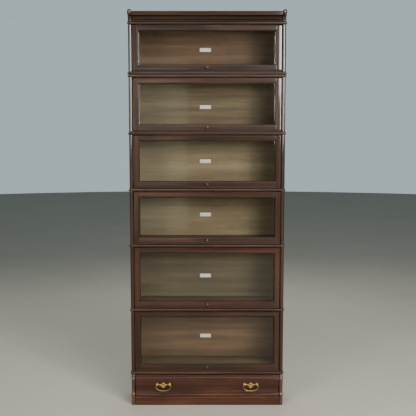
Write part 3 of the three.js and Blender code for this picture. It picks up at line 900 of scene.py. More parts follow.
def turned(outline: Sequence[Sequence[float]], centre: Sequence[float], sides: int = 32) -> Surface:
    """Turn an outline about an axis that points forwards, towards -Y.

    A point is centre + (r cos a, -h, r sin a), for each radius r and height h of the outline. The first
    and last points lie on the axis and become poles.

    Args:
        outline: Radius and height of each point, from the wood outwards.
        centre: Where the axis meets the wood.
        sides: Number of points round the axis.

    Returns:
        The closed surface.
    """
    profile = np.asarray(outline, float)
    radius, height = profile[1:-1].T
    angle = np.linspace(0, 2 * np.pi, sides, endpoint=False)
    x = radius[:, None] * np.cos(angle)
    z = radius[:, None] * np.sin(angle)
    y = np.broadcast_to(-height[:, None], x.shape)
    middle = np.asarray(centre, float)
    poles = np.array([[0, -profile[0, 1], 0], [0, -profile[-1, 1], 0]])
    bulge = radius / radius.max()
    wear = np.concatenate([np.repeat(bulge, sides), [0, 1]])
    shade = np.concatenate([np.repeat(1 - bulge, sides), [1, 0]])
    return capped(np.stack([x, y, z], -1) + middle, poles + middle, wear, shade)


def tube(path: np.ndarray, radius: np.ndarray, sides: int = 14) -> Surface:
    """Carry a circle along a path that lies in a plane of constant Y.

    At each path point the circle is spanned by the Y direction and by the path's own direction turned
    a quarter in that plane. Both ends close on a point.

    Args:
        path: Points of the path.
        radius: Radius of the circle at each point.
        sides: Number of points in the circle.

    Returns:
        The closed surface.
    """
    direction = np.gradient(path, axis=0)
    direction /= np.linalg.norm(direction, axis=1, keepdims=True)
    level = np.array([0.0, 1.0, 0.0])
    side = np.cross(direction, level)
    angle = np.linspace(0, 2 * np.pi, sides, endpoint=False)
    spread = np.cos(angle)[None, :, None] * side[:, None] + np.sin(angle)[None, :, None] * level
    rings = path[:, None] + spread * radius[:, None, None]
    ends = np.stack([path[0] - direction[0] * radius[0] * 0.5, path[-1] + direction[-1] * radius[-1] * 0.5])
    wear = np.concatenate([np.tile(0.5 - 0.5 * np.sin(angle), len(path)), [0.5, 0.5]])
    return capped(rings, ends, wear, 0.3 * (1 - wear))


# ---------------------------------------------------------------- workshop


class Workshop:
    """Turns surfaces into named pieces that ride on the frame's bodies."""

    def __init__(self) -> None:
        """Start with no pieces."""
        self.count = 0

    def place(
        self,
        name: str,
        surface: Surface,
        finish: Finish,
        body: str,
        axis: Axis = Axis.X,
        stands_for: Sequence[str] = (),
    ) -> None:
        """Make one piece.

        Args:
            name: The piece's name.
            surface: Its closed surface.
            finish: Its finish.
            body: The body it rides on.
            axis: The way its grain runs.
            stands_for: The frame's nodes that it replaces.
        """
        mesh = bpy.data.meshes.new(name)
        mesh.from_pydata(surface.points.tolist(), [], surface.faces)
        smooth = np.ones(len(surface.faces), bool)
        smooth[surface.flat] = False
        mesh.polygons.foreach_set("use_smooth", smooth)
        dice = np.random.default_rng(zlib.crc32(name.encode()))
        along = "XYZ".index(axis.name)
        order = [along, (along + 1) % 3, (along + 2) % 3]
        grain = surface.points[:, order] + dice.uniform(-8, 8, 3)
        self._mark(mesh, "grain", "FLOAT_VECTOR", grain)
        self._mark(mesh, "wear", "FLOAT", surface.wear)
        self._mark(mesh, "shade", "FLOAT", surface.shade)
        self._mark(mesh, "tone", "FLOAT", np.full(len(surface.points), dice.uniform(-1, 1)))
        mesh.materials.append(material_of(finish))
        mesh.update()
        piece = bpy.data.objects.new(name, mesh)
        bpy.context.scene.collection.objects.link(piece)
        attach(piece, body)
        if stands_for:
            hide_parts(*stands_for)
        self.count += 1
        LOG.info("%s: %d points on %s", name, len(surface.points), body)

    def stand_in(self, node: str, surface: Surface, finish: Finish, body: str, axis: Axis = Axis.X) -> None:
        """Make the piece that has a frame node's name and replaces it."""
        self.place(node, surface, finish, body, axis, [node])

    @staticmethod
    def _mark(mesh: bpy.types.Mesh, name: str, kind: str, values: np.ndarray) -> None:
        """Store one number or vector at each point of a mesh.

        Args:
            mesh: The mesh.
            name: The attribute's name.
            kind: FLOAT or FLOAT_VECTOR.
            values: One row for each point.
        """
        attribute = mesh.attributes.new(name, kind, "POINT")
        key = "vector" if kind == "FLOAT_VECTOR" else "value"
        attribute.data.foreach_set(key, np.ascontiguousarray(values, np.float32).ravel())


def nosed_board(low: Sequence[float], high: Sequence[float], nose: float = 7 * MM) -> Surface:
    """Make a board with half-round front and side edges and a square back edge.

    Args:
        low: Lowest corner.
        high: Highest corner.
        nose: Radius of the half-round edge.

    Returns:
        The closed surface.
    """
    y0, y1, z0, z1 = low[1], high[1], low[2], high[2]
    middle, half = (z0 + z1) / 2, (z1 - z0) / 2
    turn = np.linspace(-np.pi / 2, -1.5 * np.pi, 9)
    front = arc((y0 + nose, middle), (nose, half), turn)
    corners = stitched(front, [[y1, z1], [y1, z0]])
    radius = np.array([0.0] * len(front) + [0.8 * MM] * 2)
    worn = np.concatenate([np.sin(np.linspace(0.2, np.pi - 0.2, len(front))), [0.2, 0.2]])
    outline = filleted(corners, radius, worn)
    fade = np.clip((y1 - outline.points[:, :1]) / (20 * MM), 0, 1)
    outline.way = -outline.normals() * np.concatenate([fade, fade * 0 + 1], 1)
    return member(outline, Axis.X, low[0], high[0], nose)


# ---------------------------------------------------------------- sections


@dataclass
class Section:
    """One stacking case: two ends, nosed top board, shelf, sill, back panel and label plate."""

    number: int
    wood: Finish
    shop: Workshop
    top_board: float = 15 * MM
    foot_board: float = 13 * MM
    shelf: float = 18 * MM
    shelf_setback: float = 31 * MM
    sill: float = 9 * MM
    sill_setback: float = 10 * MM
    back: float = 8 * MM
    groove_height: float = 6.8 * MM
    groove_depth: float = 7 * MM
    label_height: float = 140 * MM
    label_shift: float = -10 * MM
    label_size: tuple[float, float] = (63 * MM, 21 * MM)
    pin_inset: float = 4 * MM
    screw_inset: float = 45 * MM
    screw_rise: float = 11 * MM
    screw_drop: float = 9 * MM

    def build(self) -> None:
        """Make every board of the case."""
        self.case_low, self.case_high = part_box(f"section_{self.number}_case")
        self.has_foot = self.number == min(SECTION_WOODS)
        self._ends()
        self._boards()
        self._label()
        self._back_screws()

    def _name(self, piece: str) -> str:
        """Return a piece's full name."""
        return f"section_{self.number}_{piece}"

    def _ends(self) -> None:
        """Make both end panels: a bull-nosed front edge and the rod's groove on the inner face."""
        rod_low, rod_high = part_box(f"door_{self.number}_pivot_rod")
        groove = (rod_low.z + rod_high.z) / 2
        travel = next(j["range_m"][1] for j in frame["joints"] if j["name"] == f"door_{self.number}_slide")
        reach = (rod_low.y - ROD_PLAY, rod_high.y + travel + ROD_PLAY)
        for side, label in ((-1, "left"), (1, "right")):
            node = self._name(f"{label}_end")
            low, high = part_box(node)
            inner, outer = (high.x, low.x) if side < 0 else (low.x, high.x)
            surface = self._end_panel(side, inner, outer, low, high, groove, reach)
            self.shop.stand_in(node, surface, POSTS[self.wood], "root", Axis.Z)

    def _end_panel(
        self,
        side: int,
        inner: float,
        outer: float,
        low: Sequence[float],
        high: Sequence[float],
        groove: float,
        reach: tuple[float, float],
    ) -> Surface:
        """Make one end panel.

        The groove is carved by moving the inner face outwards between two pairs of stations.

        Args:
            side: -1 on the left, 1 on the right.
            inner: Place of the inner face along X.
            outer: Place of the outer face along X.
            low: Lowest corner.
            high: Highest corner.
            groove: Height of the groove's middle.
            reach: Where the groove starts and stops along Y.

        Returns:
            The closed surface.
        """
        nose = abs(outer - inner) / 2
        turn = np.linspace(0, np.pi, 15)
        middle = (inner + outer) / 2
        front = arc((middle, low[1] + nose), (-side * nose, -nose), turn)
        marks_y = [reach[1] + LIP, reach[1], reach[0], reach[0] - LIP]
        corners = stitched([[outer, high[1]], [inner, high[1]]], [[inner, y] for y in marks_y], front)
        radius = np.array([1.0 * MM, 1.0 * MM] + [0.0] * (len(corners) - 2))
        worn = np.concatenate([[0.6] * 2, [0.0] * 4, 0.5 * np.sin(turn)])
        # Painted shade with grime: on the inner half of the bull-nose beside the door and along the groove.
        shade_and_grime = np.concatenate([[0.0, 0.3], [0.3] * 4, 0.25 * (1 + np.cos(turn))])
        outline = filleted(corners, radius, worn, shade_and_grime)
        half = self.groove_height / 2
        edges = [groove - half - LIP, groove - half, groove + half, groove + half + LIP]

        def carve(section: np.ndarray, run: np.ndarray) -> np.ndarray:
            """Push the inner face into the groove."""
            inside = (run > edges[0] + LIP / 2) & (run < edges[3] - LIP / 2)
            on_face = np.abs(section[..., 0] - inner) < 0.01 * MM
            in_reach = (section[..., 1] > reach[0] - LIP / 2) & (section[..., 1] < reach[1] + LIP / 2)
            section[..., 0] += side * self.groove_depth * (on_face & in_reach & inside[:, None])
            return section

        return member(outline, Axis.Z, low[2], high[2], 0.8 * MM, stations=edges, carve=carve)

    def _boards(self) -> None:
        """Make the nosed boards, shelf, sill and back panel."""
        low, high = self.case_low, self.case_high
        left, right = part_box(self._name("left_end"))[1].x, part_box(self._name("right_end"))[0].x
        node = self._name("case")
        top_foot = high.z - self.top_board
        top = nosed_board((low.x, low.y, top_foot), (high.x, high.y, high.z))
        self.shop.place(self._name("top_board"), top, self.wood, "root", Axis.X, [node])
        floor = low.z
        if self.has_foot:
            floor = low.z + self.foot_board - FIT
            foot = nosed_board((low.x, low.y, low.z), (high.x, high.y, floor), 6 * MM)
            self.shop.place(self._name("foot_board"), foot, self.wood, "root")
        x0, x1 = left + FIT, right - FIT
        sill_front, shelf_front = low.y + self.sill_setback, low.y + self.shelf_setback
        back_face = high.y - self.back
        shelf = board((x0, shelf_front, floor), (x1, back_face, floor + self.shelf), Axis.X)
        self.shop.place(self._name("shelf"), shelf, Finish.INNER_WOOD, "root")
        # The sill's near-black finish is painted shade for the gap under the door.
        sill = board((x0, sill_front, floor), (x1, shelf_front, floor + self.sill), Axis.X, 1.5 * MM)
        self.shop.place(self._name("sill"), sill, Finish.SILL_WOOD, "root")
        back = board((x0, back_face, floor), (x1, high.y, top_foot), Axis.X, 0.6 * MM, wear=0.2, shade=0.8)
        self.shop.place(self._name("back_panel"), back, BACK_WOODS[self.number], "root")

    def _label(self) -> None:
        """Make the blank label plate on the back panel, with its two pins."""
        floor = self.case_low.z + (self.foot_board if self.has_foot else 0)
        face = self.case_high.y - self.back
        width, height = self.label_size
        middle = floor + self.label_height
        low = (self.label_shift - width / 2, face - 1.4 * MM, middle - height / 2)
        high = (self.label_shift + width / 2, face - 0.1 * MM, middle + height / 2)
        self.shop.place(self._name("label_plate"), board(low, high, Axis.X, 0.5 * MM), Finish.IVORY, "root")
        head = dome(1.6 * MM, 0.8 * MM)
        reach = width / 2 - self.pin_inset
        pins = [turned(head, (self.label_shift + side * reach, low[1], middle), 12) for side in (-1, 1)]
        self.shop.place(self._name("label_pins"), joined(pins), Finish.BRASS, "root")

    def _back_screws(self) -> None:
        """Make the screw heads that hold the back panel, seen from behind."""
        low, high = self.case_low, self.case_high
        lower = low.z + self.screw_rise + (self.foot_board if self.has_foot else 0)
        upper = high.z - self.top_board - self.screw_drop
        columns = np.linspace(low.x + self.screw_inset, high.x - self.screw_inset, 5)
        head = dome(3.6 * MM, 1.0 * MM)
        heads = [turned(head, (x, 0, z), 12).moved(self._to_back) for x in columns for z in (lower, upper)]
        flipped = [Surface(s.points, [f[::-1] for f in s.faces], s.wear, s.shade) for s in heads]
        self.shop.place(self._name("back_screws"), joined(flipped), Finish.STEEL, "root")

    def _to_back(self, points: np.ndarray) -> np.ndarray:
        """Return a head's points mirrored to face backwards, its foot sunk in the back panel."""
        return points * (1, -1, 1) + (0, self.case_high.y - 1.05 * MM, 0)


def end_of(side: int, low: float, high: float) -> float:
    """Return the low end of a span for side -1 and the high end for side 1."""
    return low if side < 0 else high


def dome(radius: float, height: float) -> list[tuple[float, float]]:
    """Return the outline of a low round head: radius r cos a at height h sin a."""
    turn = np.linspace(0, np.pi / 2, 5)[:-1]
    rim = [(float(radius * math.cos(a)), float(height * math.sin(a))) for a in turn]
    return [(0.0, 0.0), *rim, (0.0, height)]


@dataclass
class Door:
    """One door: stiles, rails, pane, glazing beads, knob and the rod that it hangs on."""

    number: int
    wood: Finish
    shop: Workshop
    stile: float = 31 * MM
    rail: float = 30 * MM
    sight: float = 5 * MM
    rebate: float = 6 * MM
    glass_setback: float = 9 * MM
    glass: float = 3 * MM
    knob_radius: float = 8 * MM
    knob_length: float = 16.5 * MM
    wave: float = 0.12 * MM
    bead_gap: float = 0.4 * MM

    def build(self) -> None:
        """Make every piece of the door."""
        self.body = f"door_{self.number}"
        self.low, self.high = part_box(f"door_{self.number}_frame")
        self._stiles_and_rails()
        self._pane()
        self._beads()
        self._knob()
        self._rod()

    def _name(self, piece: str) -> str:
        """Return a piece's full name."""
        return f"door_{self.number}_{piece}"

    def _section(self, width: float) -> tuple[np.ndarray, np.ndarray, np.ndarray, np.ndarray]:
        """Return a stile's or rail's cross-section.

        Across runs from the outer edge to the glass opening and depth from the front. A small quirk
        steps down to a quarter-round that falls to the glass line; behind it is the rebate.

        Args:
            width: Full width of the stile or rail.

        Returns:
            Corners as (across, depth), their radii, wear and painted shade with grime.
        """
        turn = np.linspace(0, np.pi / 2, 7)
        flat = width - self.sight
        quirk = 0.9 * MM
        fall = self.glass_setback - 2.2 * MM
        ovolo = np.stack([flat + self.sight * np.sin(turn), quirk + fall * (1 - np.cos(turn))], 1)
        thick = self.high.y - self.low.y
        seat = width - self.rebate
        rebate = [[width, self.glass_setback], [seat, self.glass_setback], [seat, thick], [0.0, thick]]
        corners = stitched([[0.0, 0.0], [flat, 0.0]], ovolo, rebate)
        middle = len(ovolo)
        radius = np.array([1.6 * MM, 0.5 * MM] + [0.0] * middle + [0.0, 0.0, 0.6 * MM, 1.2 * MM])
        worn = np.array([0.9, 0.7] + [0.15] * middle + [0.0, 0.0, 0.3, 0.5])
        # Painted shade with grime: darkest in the quirk, at the glass line and in the rebate.
        shade_and_grime = np.array([0.15, 0.1, 1.0] + [0.25] * (middle - 2) + [0.9, 0.8, 0.8, 0.2, 0.3])
        return corners, radius, worn, shade_and_grime

    def _stiles_and_rails(self) -> None:
        """Make two stiles of full height and two rails between their flats, mouldings running together."""
        low, high = self.low, self.high
        flat = self.stile - self.sight
        for side, label in ((-1, "left"), (1, "right")):
            corners, radius, worn, shade_and_grime = self._section(self.stile)
            edge = end_of(side, low.x, high.x)
            points = np.stack([edge - side * corners[:, 0], low.y + corners[:, 1]], 1)
            stile = member(filleted(points, radius, worn, shade_and_grime), Axis.Z, low.z, high.z, 1.4 * MM)
            nodes = [self._name("frame")] if side < 0 else []
            wood = POSTS[self.wood] if side > 0 and self.number <= 2 else self.wood
            self.shop.place(self._name(f"{label}_stile"), stile, wood, self.body, Axis.Z, nodes)
        for side, label in ((-1, "bottom"), (1, "top")):
            corners, radius, worn, shade_and_grime = self._section(self.rail)
            edge = end_of(side, low.z, high.z)
            points = np.stack([low.y + corners[:, 1], edge - side * corners[:, 0]], 1)
            outline = filleted(points, radius, worn, shade_and_grime)
            rail = member(outline, Axis.X, low.x + flat, high.x - flat, FIT)
            self.shop.place(self._name(f"{label}_rail"), rail, self.wood, self.body)

    def _pane(self) -> None:
        """Make the pane: both faces follow the same slow waves, so that its thickness stays even."""
        node = self._name("glass")
        low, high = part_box(node)
        x, z = np.meshgrid(np.linspace(low.x, high.x, 64), np.linspace(low.z, high.z, 24))
        phase = self.number * 1.7
        ripple = np.sin(x * 21 + phase) * np.sin(z * 13 + 2 * phase) + np.sin(x * 9 - z * 17)
        calm_x = np.sin(np.pi * (x - low.x) / (high.x - low.x))
        calm_z = np.sin(np.pi * (z - low.z) / (high.z - low.z))
        wave = self.wave * ripple * (calm_x * calm_z)
        front, back = (np.stack([x, y + wave, z], -1) for y in (low.y + FIT, high.y - FIT))
        zero = np.zeros(2 * x.size)
        surface = slab(front, back, zero, zero)
        self.shop.stand_in(node, surface, Finish.GLASS, self.body)

    def _beads(self) -> None:
        """Make the four glazing beads behind the pane: quarter-rounds that meet in the corners."""
        low, high = self.low, self.high
        glass_back = low.y + self.glass_setback + self.glass + 0.5 * MM
        size = self.rebate + 1.5 * MM
        turn = np.linspace(0, np.pi / 2, 6)
        shape = stitched([[0.0, 0.0]], arc((0, 0), (size, high.y - glass_back - self.bead_gap), turn))
        radius = np.zeros(len(shape))
        inner_x = self.stile - self.rebate + FIT
        inner_z = self.rail - self.rebate + FIT
        spans = {Axis.Z: (low.z + inner_z, high.z - inner_z), Axis.X: (low.x + inner_x, high.x - inner_x)}
        edges = {"left": (Axis.Z, -1), "bottom": (Axis.X, -1), "right": (Axis.Z, 1), "top": (Axis.X, 1)}
        for label, (axis, side) in edges.items():
            start, stop = spans[Axis.X if axis is Axis.Z else Axis.Z]
            pair = [end_of(side, start, stop) - side * shape[:, 0], glass_back + shape[:, 1]]
            points = np.stack(pair if axis is Axis.Z else pair[::-1], 1)
            # The shade of 0.4 is painted shade with grime along the whole bead, in the rebate behind the
            # pane.
            strip = member(filleted(points, radius, 0.1, 0.4), axis, *spans[axis], FIT)
            self.shop.place(self._name(f"{label}_bead"), strip, Finish.BEAD_WOOD, self.body, axis)

    def _knob(self) -> None:
        """Make the turned knob: a foot plate, a waisted neck and a rounded head with a raised button."""
        node = self._name("knob")
        low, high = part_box(node)
        centre = ((low.x + high.x) / 2, high.y, (low.z + high.z) / 2)
        r, h = self.knob_radius, self.knob_length
        share = [
            (0.0, 0.0), (0.86, 0.0), (0.9, 0.03), (0.88, 0.08), (0.72, 0.12), (0.6, 0.15), (0.5, 0.22),
            (0.47, 0.3), (0.52, 0.38), (0.68, 0.46), (0.86, 0.54), (0.97, 0.63), (1.0, 0.7), (0.97, 0.78),
            (0.88, 0.86), (0.74, 0.91), (0.62, 0.925), (0.5, 0.93), (0.4, 0.95), (0.26, 0.985), (0.0, 1.0),
        ]
        outline = [(r * a, h * b) for a, b in share]
        self.shop.stand_in(node, turned(outline, centre, 36), Finish.BRONZE, self.body, Axis.Y)

    def _rod(self) -> None:
        """Make the pivot rod, with eased ends."""
        node = self._name("pivot_rod")
        low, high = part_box(node)
        radius = (high.z - low.z) / 2
        turn = np.linspace(0, 2 * np.pi, 20, endpoint=False)
        circle = arc(((low.y + high.y) / 2, (low.z + high.z) / 2), (radius, radius), turn)
        outline = filleted(circle, 0.0, 0.4)
        rod = member(outline, Axis.X, low.x, high.x, 0.8 * MM)
        self.shop.stand_in(node, rod, Finish.STEEL, f"door_{self.number}_carriage")


# ---------------------------------------------------------------- cornice


@dataclass
class Cornice:
    """Moulded top: two lobed ends, the front moulding between them and the board behind it."""

    wood: Finish
    shop: Workshop
    height: float = 52 * MM
    bead: float = 5 * MM
    cove: float = 18 * MM
    fillet: float = 21 * MM
    lobe: float = 16 * MM
    lobe_rise: float = 12 * MM
    overhang: float = 18 * MM
    step: float = 2 * MM

    def build(self) -> None:
        """Make every piece of the cornice."""
        low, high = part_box("cornice_moulding")
        self.foot = low.z - FIT
        self.top = self.foot + self.height
        self.face = low.y
        self.plane = low.y + self.cove + self.overhang
        self._moulding(low, high)
        for label in ("left", "right"):
            self._end(label)
        surface = board(*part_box("cornice_top_board"), Axis.X)
        self.shop.stand_in("cornice_top_board", surface, self.wood, "root")

    def _bead_and_cove(self) -> tuple[np.ndarray, np.ndarray]:
        """Return the bead and the cove, drawn upwards.

        The bead is a half circle on the front plane. The cove is a quarter circle about a point in front
        of its foot, so that it hollows under the fillet.

        Returns:
            Points of the bead and points of the cove.
        """
        turn = np.linspace(-np.pi / 2, -1.5 * np.pi, 9)
        bead = arc((self.plane, self.foot + self.bead), (self.bead, self.bead), turn)
        bead[0, 1] += FIT
        rise = self.foot + 2 * self.bead + self.step
        turn = np.linspace(0, np.pi / 2, 9)
        centre = self.plane - self.step - self.cove
        return bead, arc((centre, rise), (self.cove, self.cove), turn)

    def _moulding(self, low: Sequence[float], high: Sequence[float]) -> None:
        """Make the front moulding.

        Args:
            low: Lowest corner of its node.
            high: Highest corner of its node.
        """
        bead, cove = self._bead_and_cove()
        under = self.top - self.fillet
        hollow = self.plane - self.cove - 2 * self.step
        corners = stitched(
            [[high[1], low[2]]],
            bead,
            [[self.plane - self.step, self.foot + 2 * self.bead]],
            cove,
            [[hollow, under], [self.face, under], [self.face, self.top], [high[1], self.top]],
        )
        radius = np.zeros(len(corners))
        radius[-4:] = [0.0, 2.2 * MM, 3.5 * MM, 0.8 * MM]
        worn = np.zeros(len(corners))
        worn[1:10] = 0.55 * np.sin(np.linspace(0, np.pi, 9))
        worn[-3:-1] = [0.9, 1.0]
        # Painted shade with grime: the bead's top and the cove under the fillet, in the overhang's shadow.
        shade_and_grime = np.zeros(len(corners))
        shade_and_grime[[1, 9, 10, 11]] = 0.9
        shade_and_grime[12:20] = 0.45
        outline = filleted(corners, radius, worn, shade_and_grime, steps=5)
        surface = member(outline, Axis.X, low[0], high[0], 0.3 * MM)
        self.shop.stand_in("cornice_moulding", surface, self.wood, "root")

    def _end(self, label: str) -> None:
        """Make one end: the same bead and cove, then a round lobe that stands above the top.

        Args:
            label: left or right.
        """
        node = f"cornice_{label}_end"
        low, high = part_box(node)
        bead, cove = self._bead_and_cove()
        turn = np.linspace(1.5 * np.pi, 0.12 * np.pi, 22)
        middle = (low.y + self.lobe, self.top + self.lobe_rise - self.lobe)
        lobe = arc(middle, (self.lobe, self.lobe), turn)
        turn = np.linspace(np.pi, 1.5 * np.pi, 6)
        fall = lobe[-1]
        drop = fall[1] - self.top
        sweep = arc((fall[0] + drop * 1.6, fall[1]), (drop * 1.6, drop), turn)
        corners = stitched([[high.y, low.z]], bead, cove, lobe, sweep[1:], [[high.y, self.top]])
        worn = np.full(len(corners), 0.35)
        worn[-len(sweep) - len(lobe) : -len(sweep)] = 0.9
        # Painted shade with grime in the cove under the lobe.
        shade_and_grime = np.zeros(len(corners))
        shade_and_grime[9:14] = 0.8
        outline = filleted(corners, 0.0, worn, shade_and_grime)
        y, z = outline.points.T
        high_up = np.clip((z - self.top + 25 * MM) / (15 * MM), 0, 1)[:, None]
        front = np.clip((self.plane + 30 * MM - y) / (20 * MM), 0, 1)[:, None]
        inwards = high_up * outline.normals() * (0.2 + 0.8 * front)
        outline.way = (1 - high_up) * front * np.array([[1.0, 0.0]]) - inwards
        surface = member(outline, Axis.X, low.x, high.x, 10 * MM)
        self.shop.stand_in(node, surface, POSTS[self.wood], "root", Axis.Y)


# ---------------------------------------------------------------- base and drawer


@dataclass
class Base:
    """Base with its drawer: ogee ends, nosed top board, plinth, back, runners and drawer box; the pulls are
    made by Pull.
    """

    wood: Finish
    shop: Workshop
    lip: float = 12 * MM
    lip_height: float = 9 * MM
    flare: float = 25 * MM
    waist: float = 2.5 * MM
    crest: float = 11 * MM
    strip: float = 3 * MM
    strip_height: float = 14 * MM
    crest_drop: float = 14 * MM
    runner_width: float = 14 * MM
    runner_setback: float = 25 * MM
    runner_height: float = 16 * MM
    runner_gap: float = 8 * MM

    def build(self) -> None:
        """Make every piece of the base and the drawer."""
        self.front_low, self.front_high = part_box("drawer_front")
        self.plane = self.front_low.y + self.lip
        self.waist_z = self.front_low.z + self.lip_height + self.flare
        self.crest_z = self.front_high.z - self.strip_height - self.crest_drop
        for side, label in ((-1, "left"), (1, "right")):
            self._end(side, label)
        top = nosed_board(*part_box("base_top_board"))
        self.shop.stand_in("base_top_board", top, self.wood, "root")
        self._plinth()
        back = board(*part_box("base_back_panel"), Axis.X, 0.8 * MM, wear=0.3, shade=0.6)
        self.shop.stand_in("base_back_panel", back, Finish.BACK_WOOD, "root")
        self._drawer()

    def ogee(self) -> tuple[np.ndarray, np.ndarray, np.ndarray]:
        """Return the drawer's front outline, drawn upwards, with its wear and its painted shade with grime.

        From the bottom: a lip, a hollow quarter ellipse, the leaning body, a rounded quarter ellipse and a
        flat strip.

        Returns:
            Points as (y, z), wear with painted highlight on the flare and crest, and painted shade with
            grime.
        """
        foot, top = self.front_low.z, self.front_high.z
        lip_y = self.plane - self.lip
        turn = np.linspace(-np.pi / 2, 0, 10)
        hollow = arc((lip_y, self.waist_z), (self.lip - self.waist, self.flare), turn)
        lean = np.linspace(0.12, 0.88, 5)[:, None]
        body = np.array([[self.plane - self.waist, self.waist_z]]) * (1 - lean)
        body = body + np.array([[self.plane - self.crest, self.crest_z]]) * lean
        turn = np.linspace(np.pi, np.pi / 2, 10)
        strip_y = self.plane - self.strip
        crest = arc((strip_y, self.crest_z), (self.crest - self.strip, self.crest_drop), turn)
        lip = [[lip_y, foot], [lip_y, foot + self.lip_height - 1.5 * MM]]
        points = stitched(lip, hollow, body, crest, [[strip_y, top]])
        # Painted highlight: wear is raised on the upward-facing bottom of the hollow and on the top of the
        # crest, where light from above falls.
        flare_wear_and_highlight, crest_wear_and_highlight = np.linspace(0.8, 0.35, 10), np.linspace(0.35, 0.85, 10)
        worn = np.concatenate([[0.9, 1.0], flare_wear_and_highlight, [0.0] * 5, crest_wear_and_highlight, [0.8]])
        # Painted shade with grime, kept low on the crest and flare so that they stay light.
        flare_shade_and_grime, crest_shade_and_grime = np.linspace(0.0, 0.1, 10), np.linspace(0.0, 0.15, 10)
        shade_and_grime = np.concatenate([[0.1, 0.0], flare_shade_and_grime, [0.1] * 5, crest_shade_and_grime, [0.1]])
        return points, worn, shade_and_grime

    def _end(self, side: int, label: str) -> None:
        """Make one end of the base and the runner on its inner face.

        Args:
            side: -1 on the left, 1 on the right.
            label: left or right.
        """
        node = f"base_{label}_end"
        low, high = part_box(node)
        plinth_low, plinth_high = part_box("base_plinth")
        points, worn, shade_and_grime = self.ogee()
        below = [[high.y, low.z], [plinth_low.y, low.z], [plinth_low.y, plinth_high.z]]
        corners = stitched(below, points, [[self.plane - self.strip, high.z], [high.y, high.z]])
        # The ogee's wear holds its painted highlight on flare and crest; the shade marks are painted shade
        # with grime.
        worn = np.concatenate([[0.2, 0.6, 0.8], worn, [0.1, 0.1]])
        shade_and_grime = np.concatenate([[0.0, 0.4, 0.3], shade_and_grime, [0.5, 0.2]])
        radius = np.zeros(len(corners))
        radius[:4] = [1.0 * MM, 1.0 * MM, 1.5 * MM, 1.5 * MM]
        thick = high.x - low.x - self.runner_width
        x0, x1 = (low.x, low.x + thick) if side < 0 else (high.x - thick, high.x)
        outline = filleted(corners, radius, worn, shade_and_grime)
        front = np.clip((self.plane + 20 * MM - outline.points[:, :1]) / (10 * MM), 0, 1)
        outline.way = front * np.array([[1.0, 0.0]])
        surface = member(outline, Axis.X, x0, x1, 9 * MM)
        self.shop.stand_in(node, surface, POSTS[self.wood], "root", Axis.Y)
        foot, front_y = self.front_low.z, self.plane + self.runner_setback
        runner_x0, runner_x1 = (x1, high.x) if side < 0 else (low.x, x0)
        runner_low = (runner_x0, front_y, foot - self.runner_height)
        runner = board(runner_low, (runner_x1, high.y - self.runner_gap, foot), Axis.Y, 0.8 * MM)
        self.shop.place(f"base_{label}_runner", runner, Finish.INNER_WOOD, "root", Axis.Y)

    def _plinth(self) -> None:
        """Make the plinth board with its rubbed, rounded top edge."""
        low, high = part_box("base_plinth")
        corners = [(high.y, low.z), (low.y, low.z), (low.y, high.z), (high.y, high.z)]
        radius = [1 * MM, 1.5 * MM, 4 * MM, 1 * MM]
        outline = filleted(corners, radius, [0.2, 0.7, 1.0, 0.2], [0, 0.5, 0, 0.5], 5)
        surface = member(outline, Axis.X, low.x, high.x, 0.5 * MM)
        self.shop.stand_in("base_plinth", surface, self.wood, "root")

    def _drawer(self) -> None:
        """Make the drawer: ogee front, two sides, back and bottom."""
        low, high = self.front_low, self.front_high
        points, worn, shade_and_grime = self.ogee()
        corners = stitched([[high.y, low.z]], points, [[high.y, high.z]])
        radius = np.zeros(len(corners))
        radius[[1, 2, -2]] = [1.2 * MM, 1.8 * MM, 1.2 * MM]
        # The ogee's wear holds its painted highlight on flare and crest; the shade marks are painted shade
        # with grime.
        outline = filleted(corners, radius, np.r_[0.1, worn, 0.1], np.r_[0.0, shade_and_grime, 0.0], 4)
        surface = member(outline, Axis.X, low.x, high.x, 1.2 * MM)
        self.shop.stand_in("drawer_front", surface, self.wood, "drawer")
        for node in ("drawer_left_side", "drawer_right_side", "drawer_back", "drawer_bottom"):
            axis = Axis.Y if node.endswith("side") else Axis.X
            surface = board(*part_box(node), axis, 1.2 * MM)
            self.shop.stand_in(node, surface, Finish.DRAWER_WOOD, "drawer", axis)


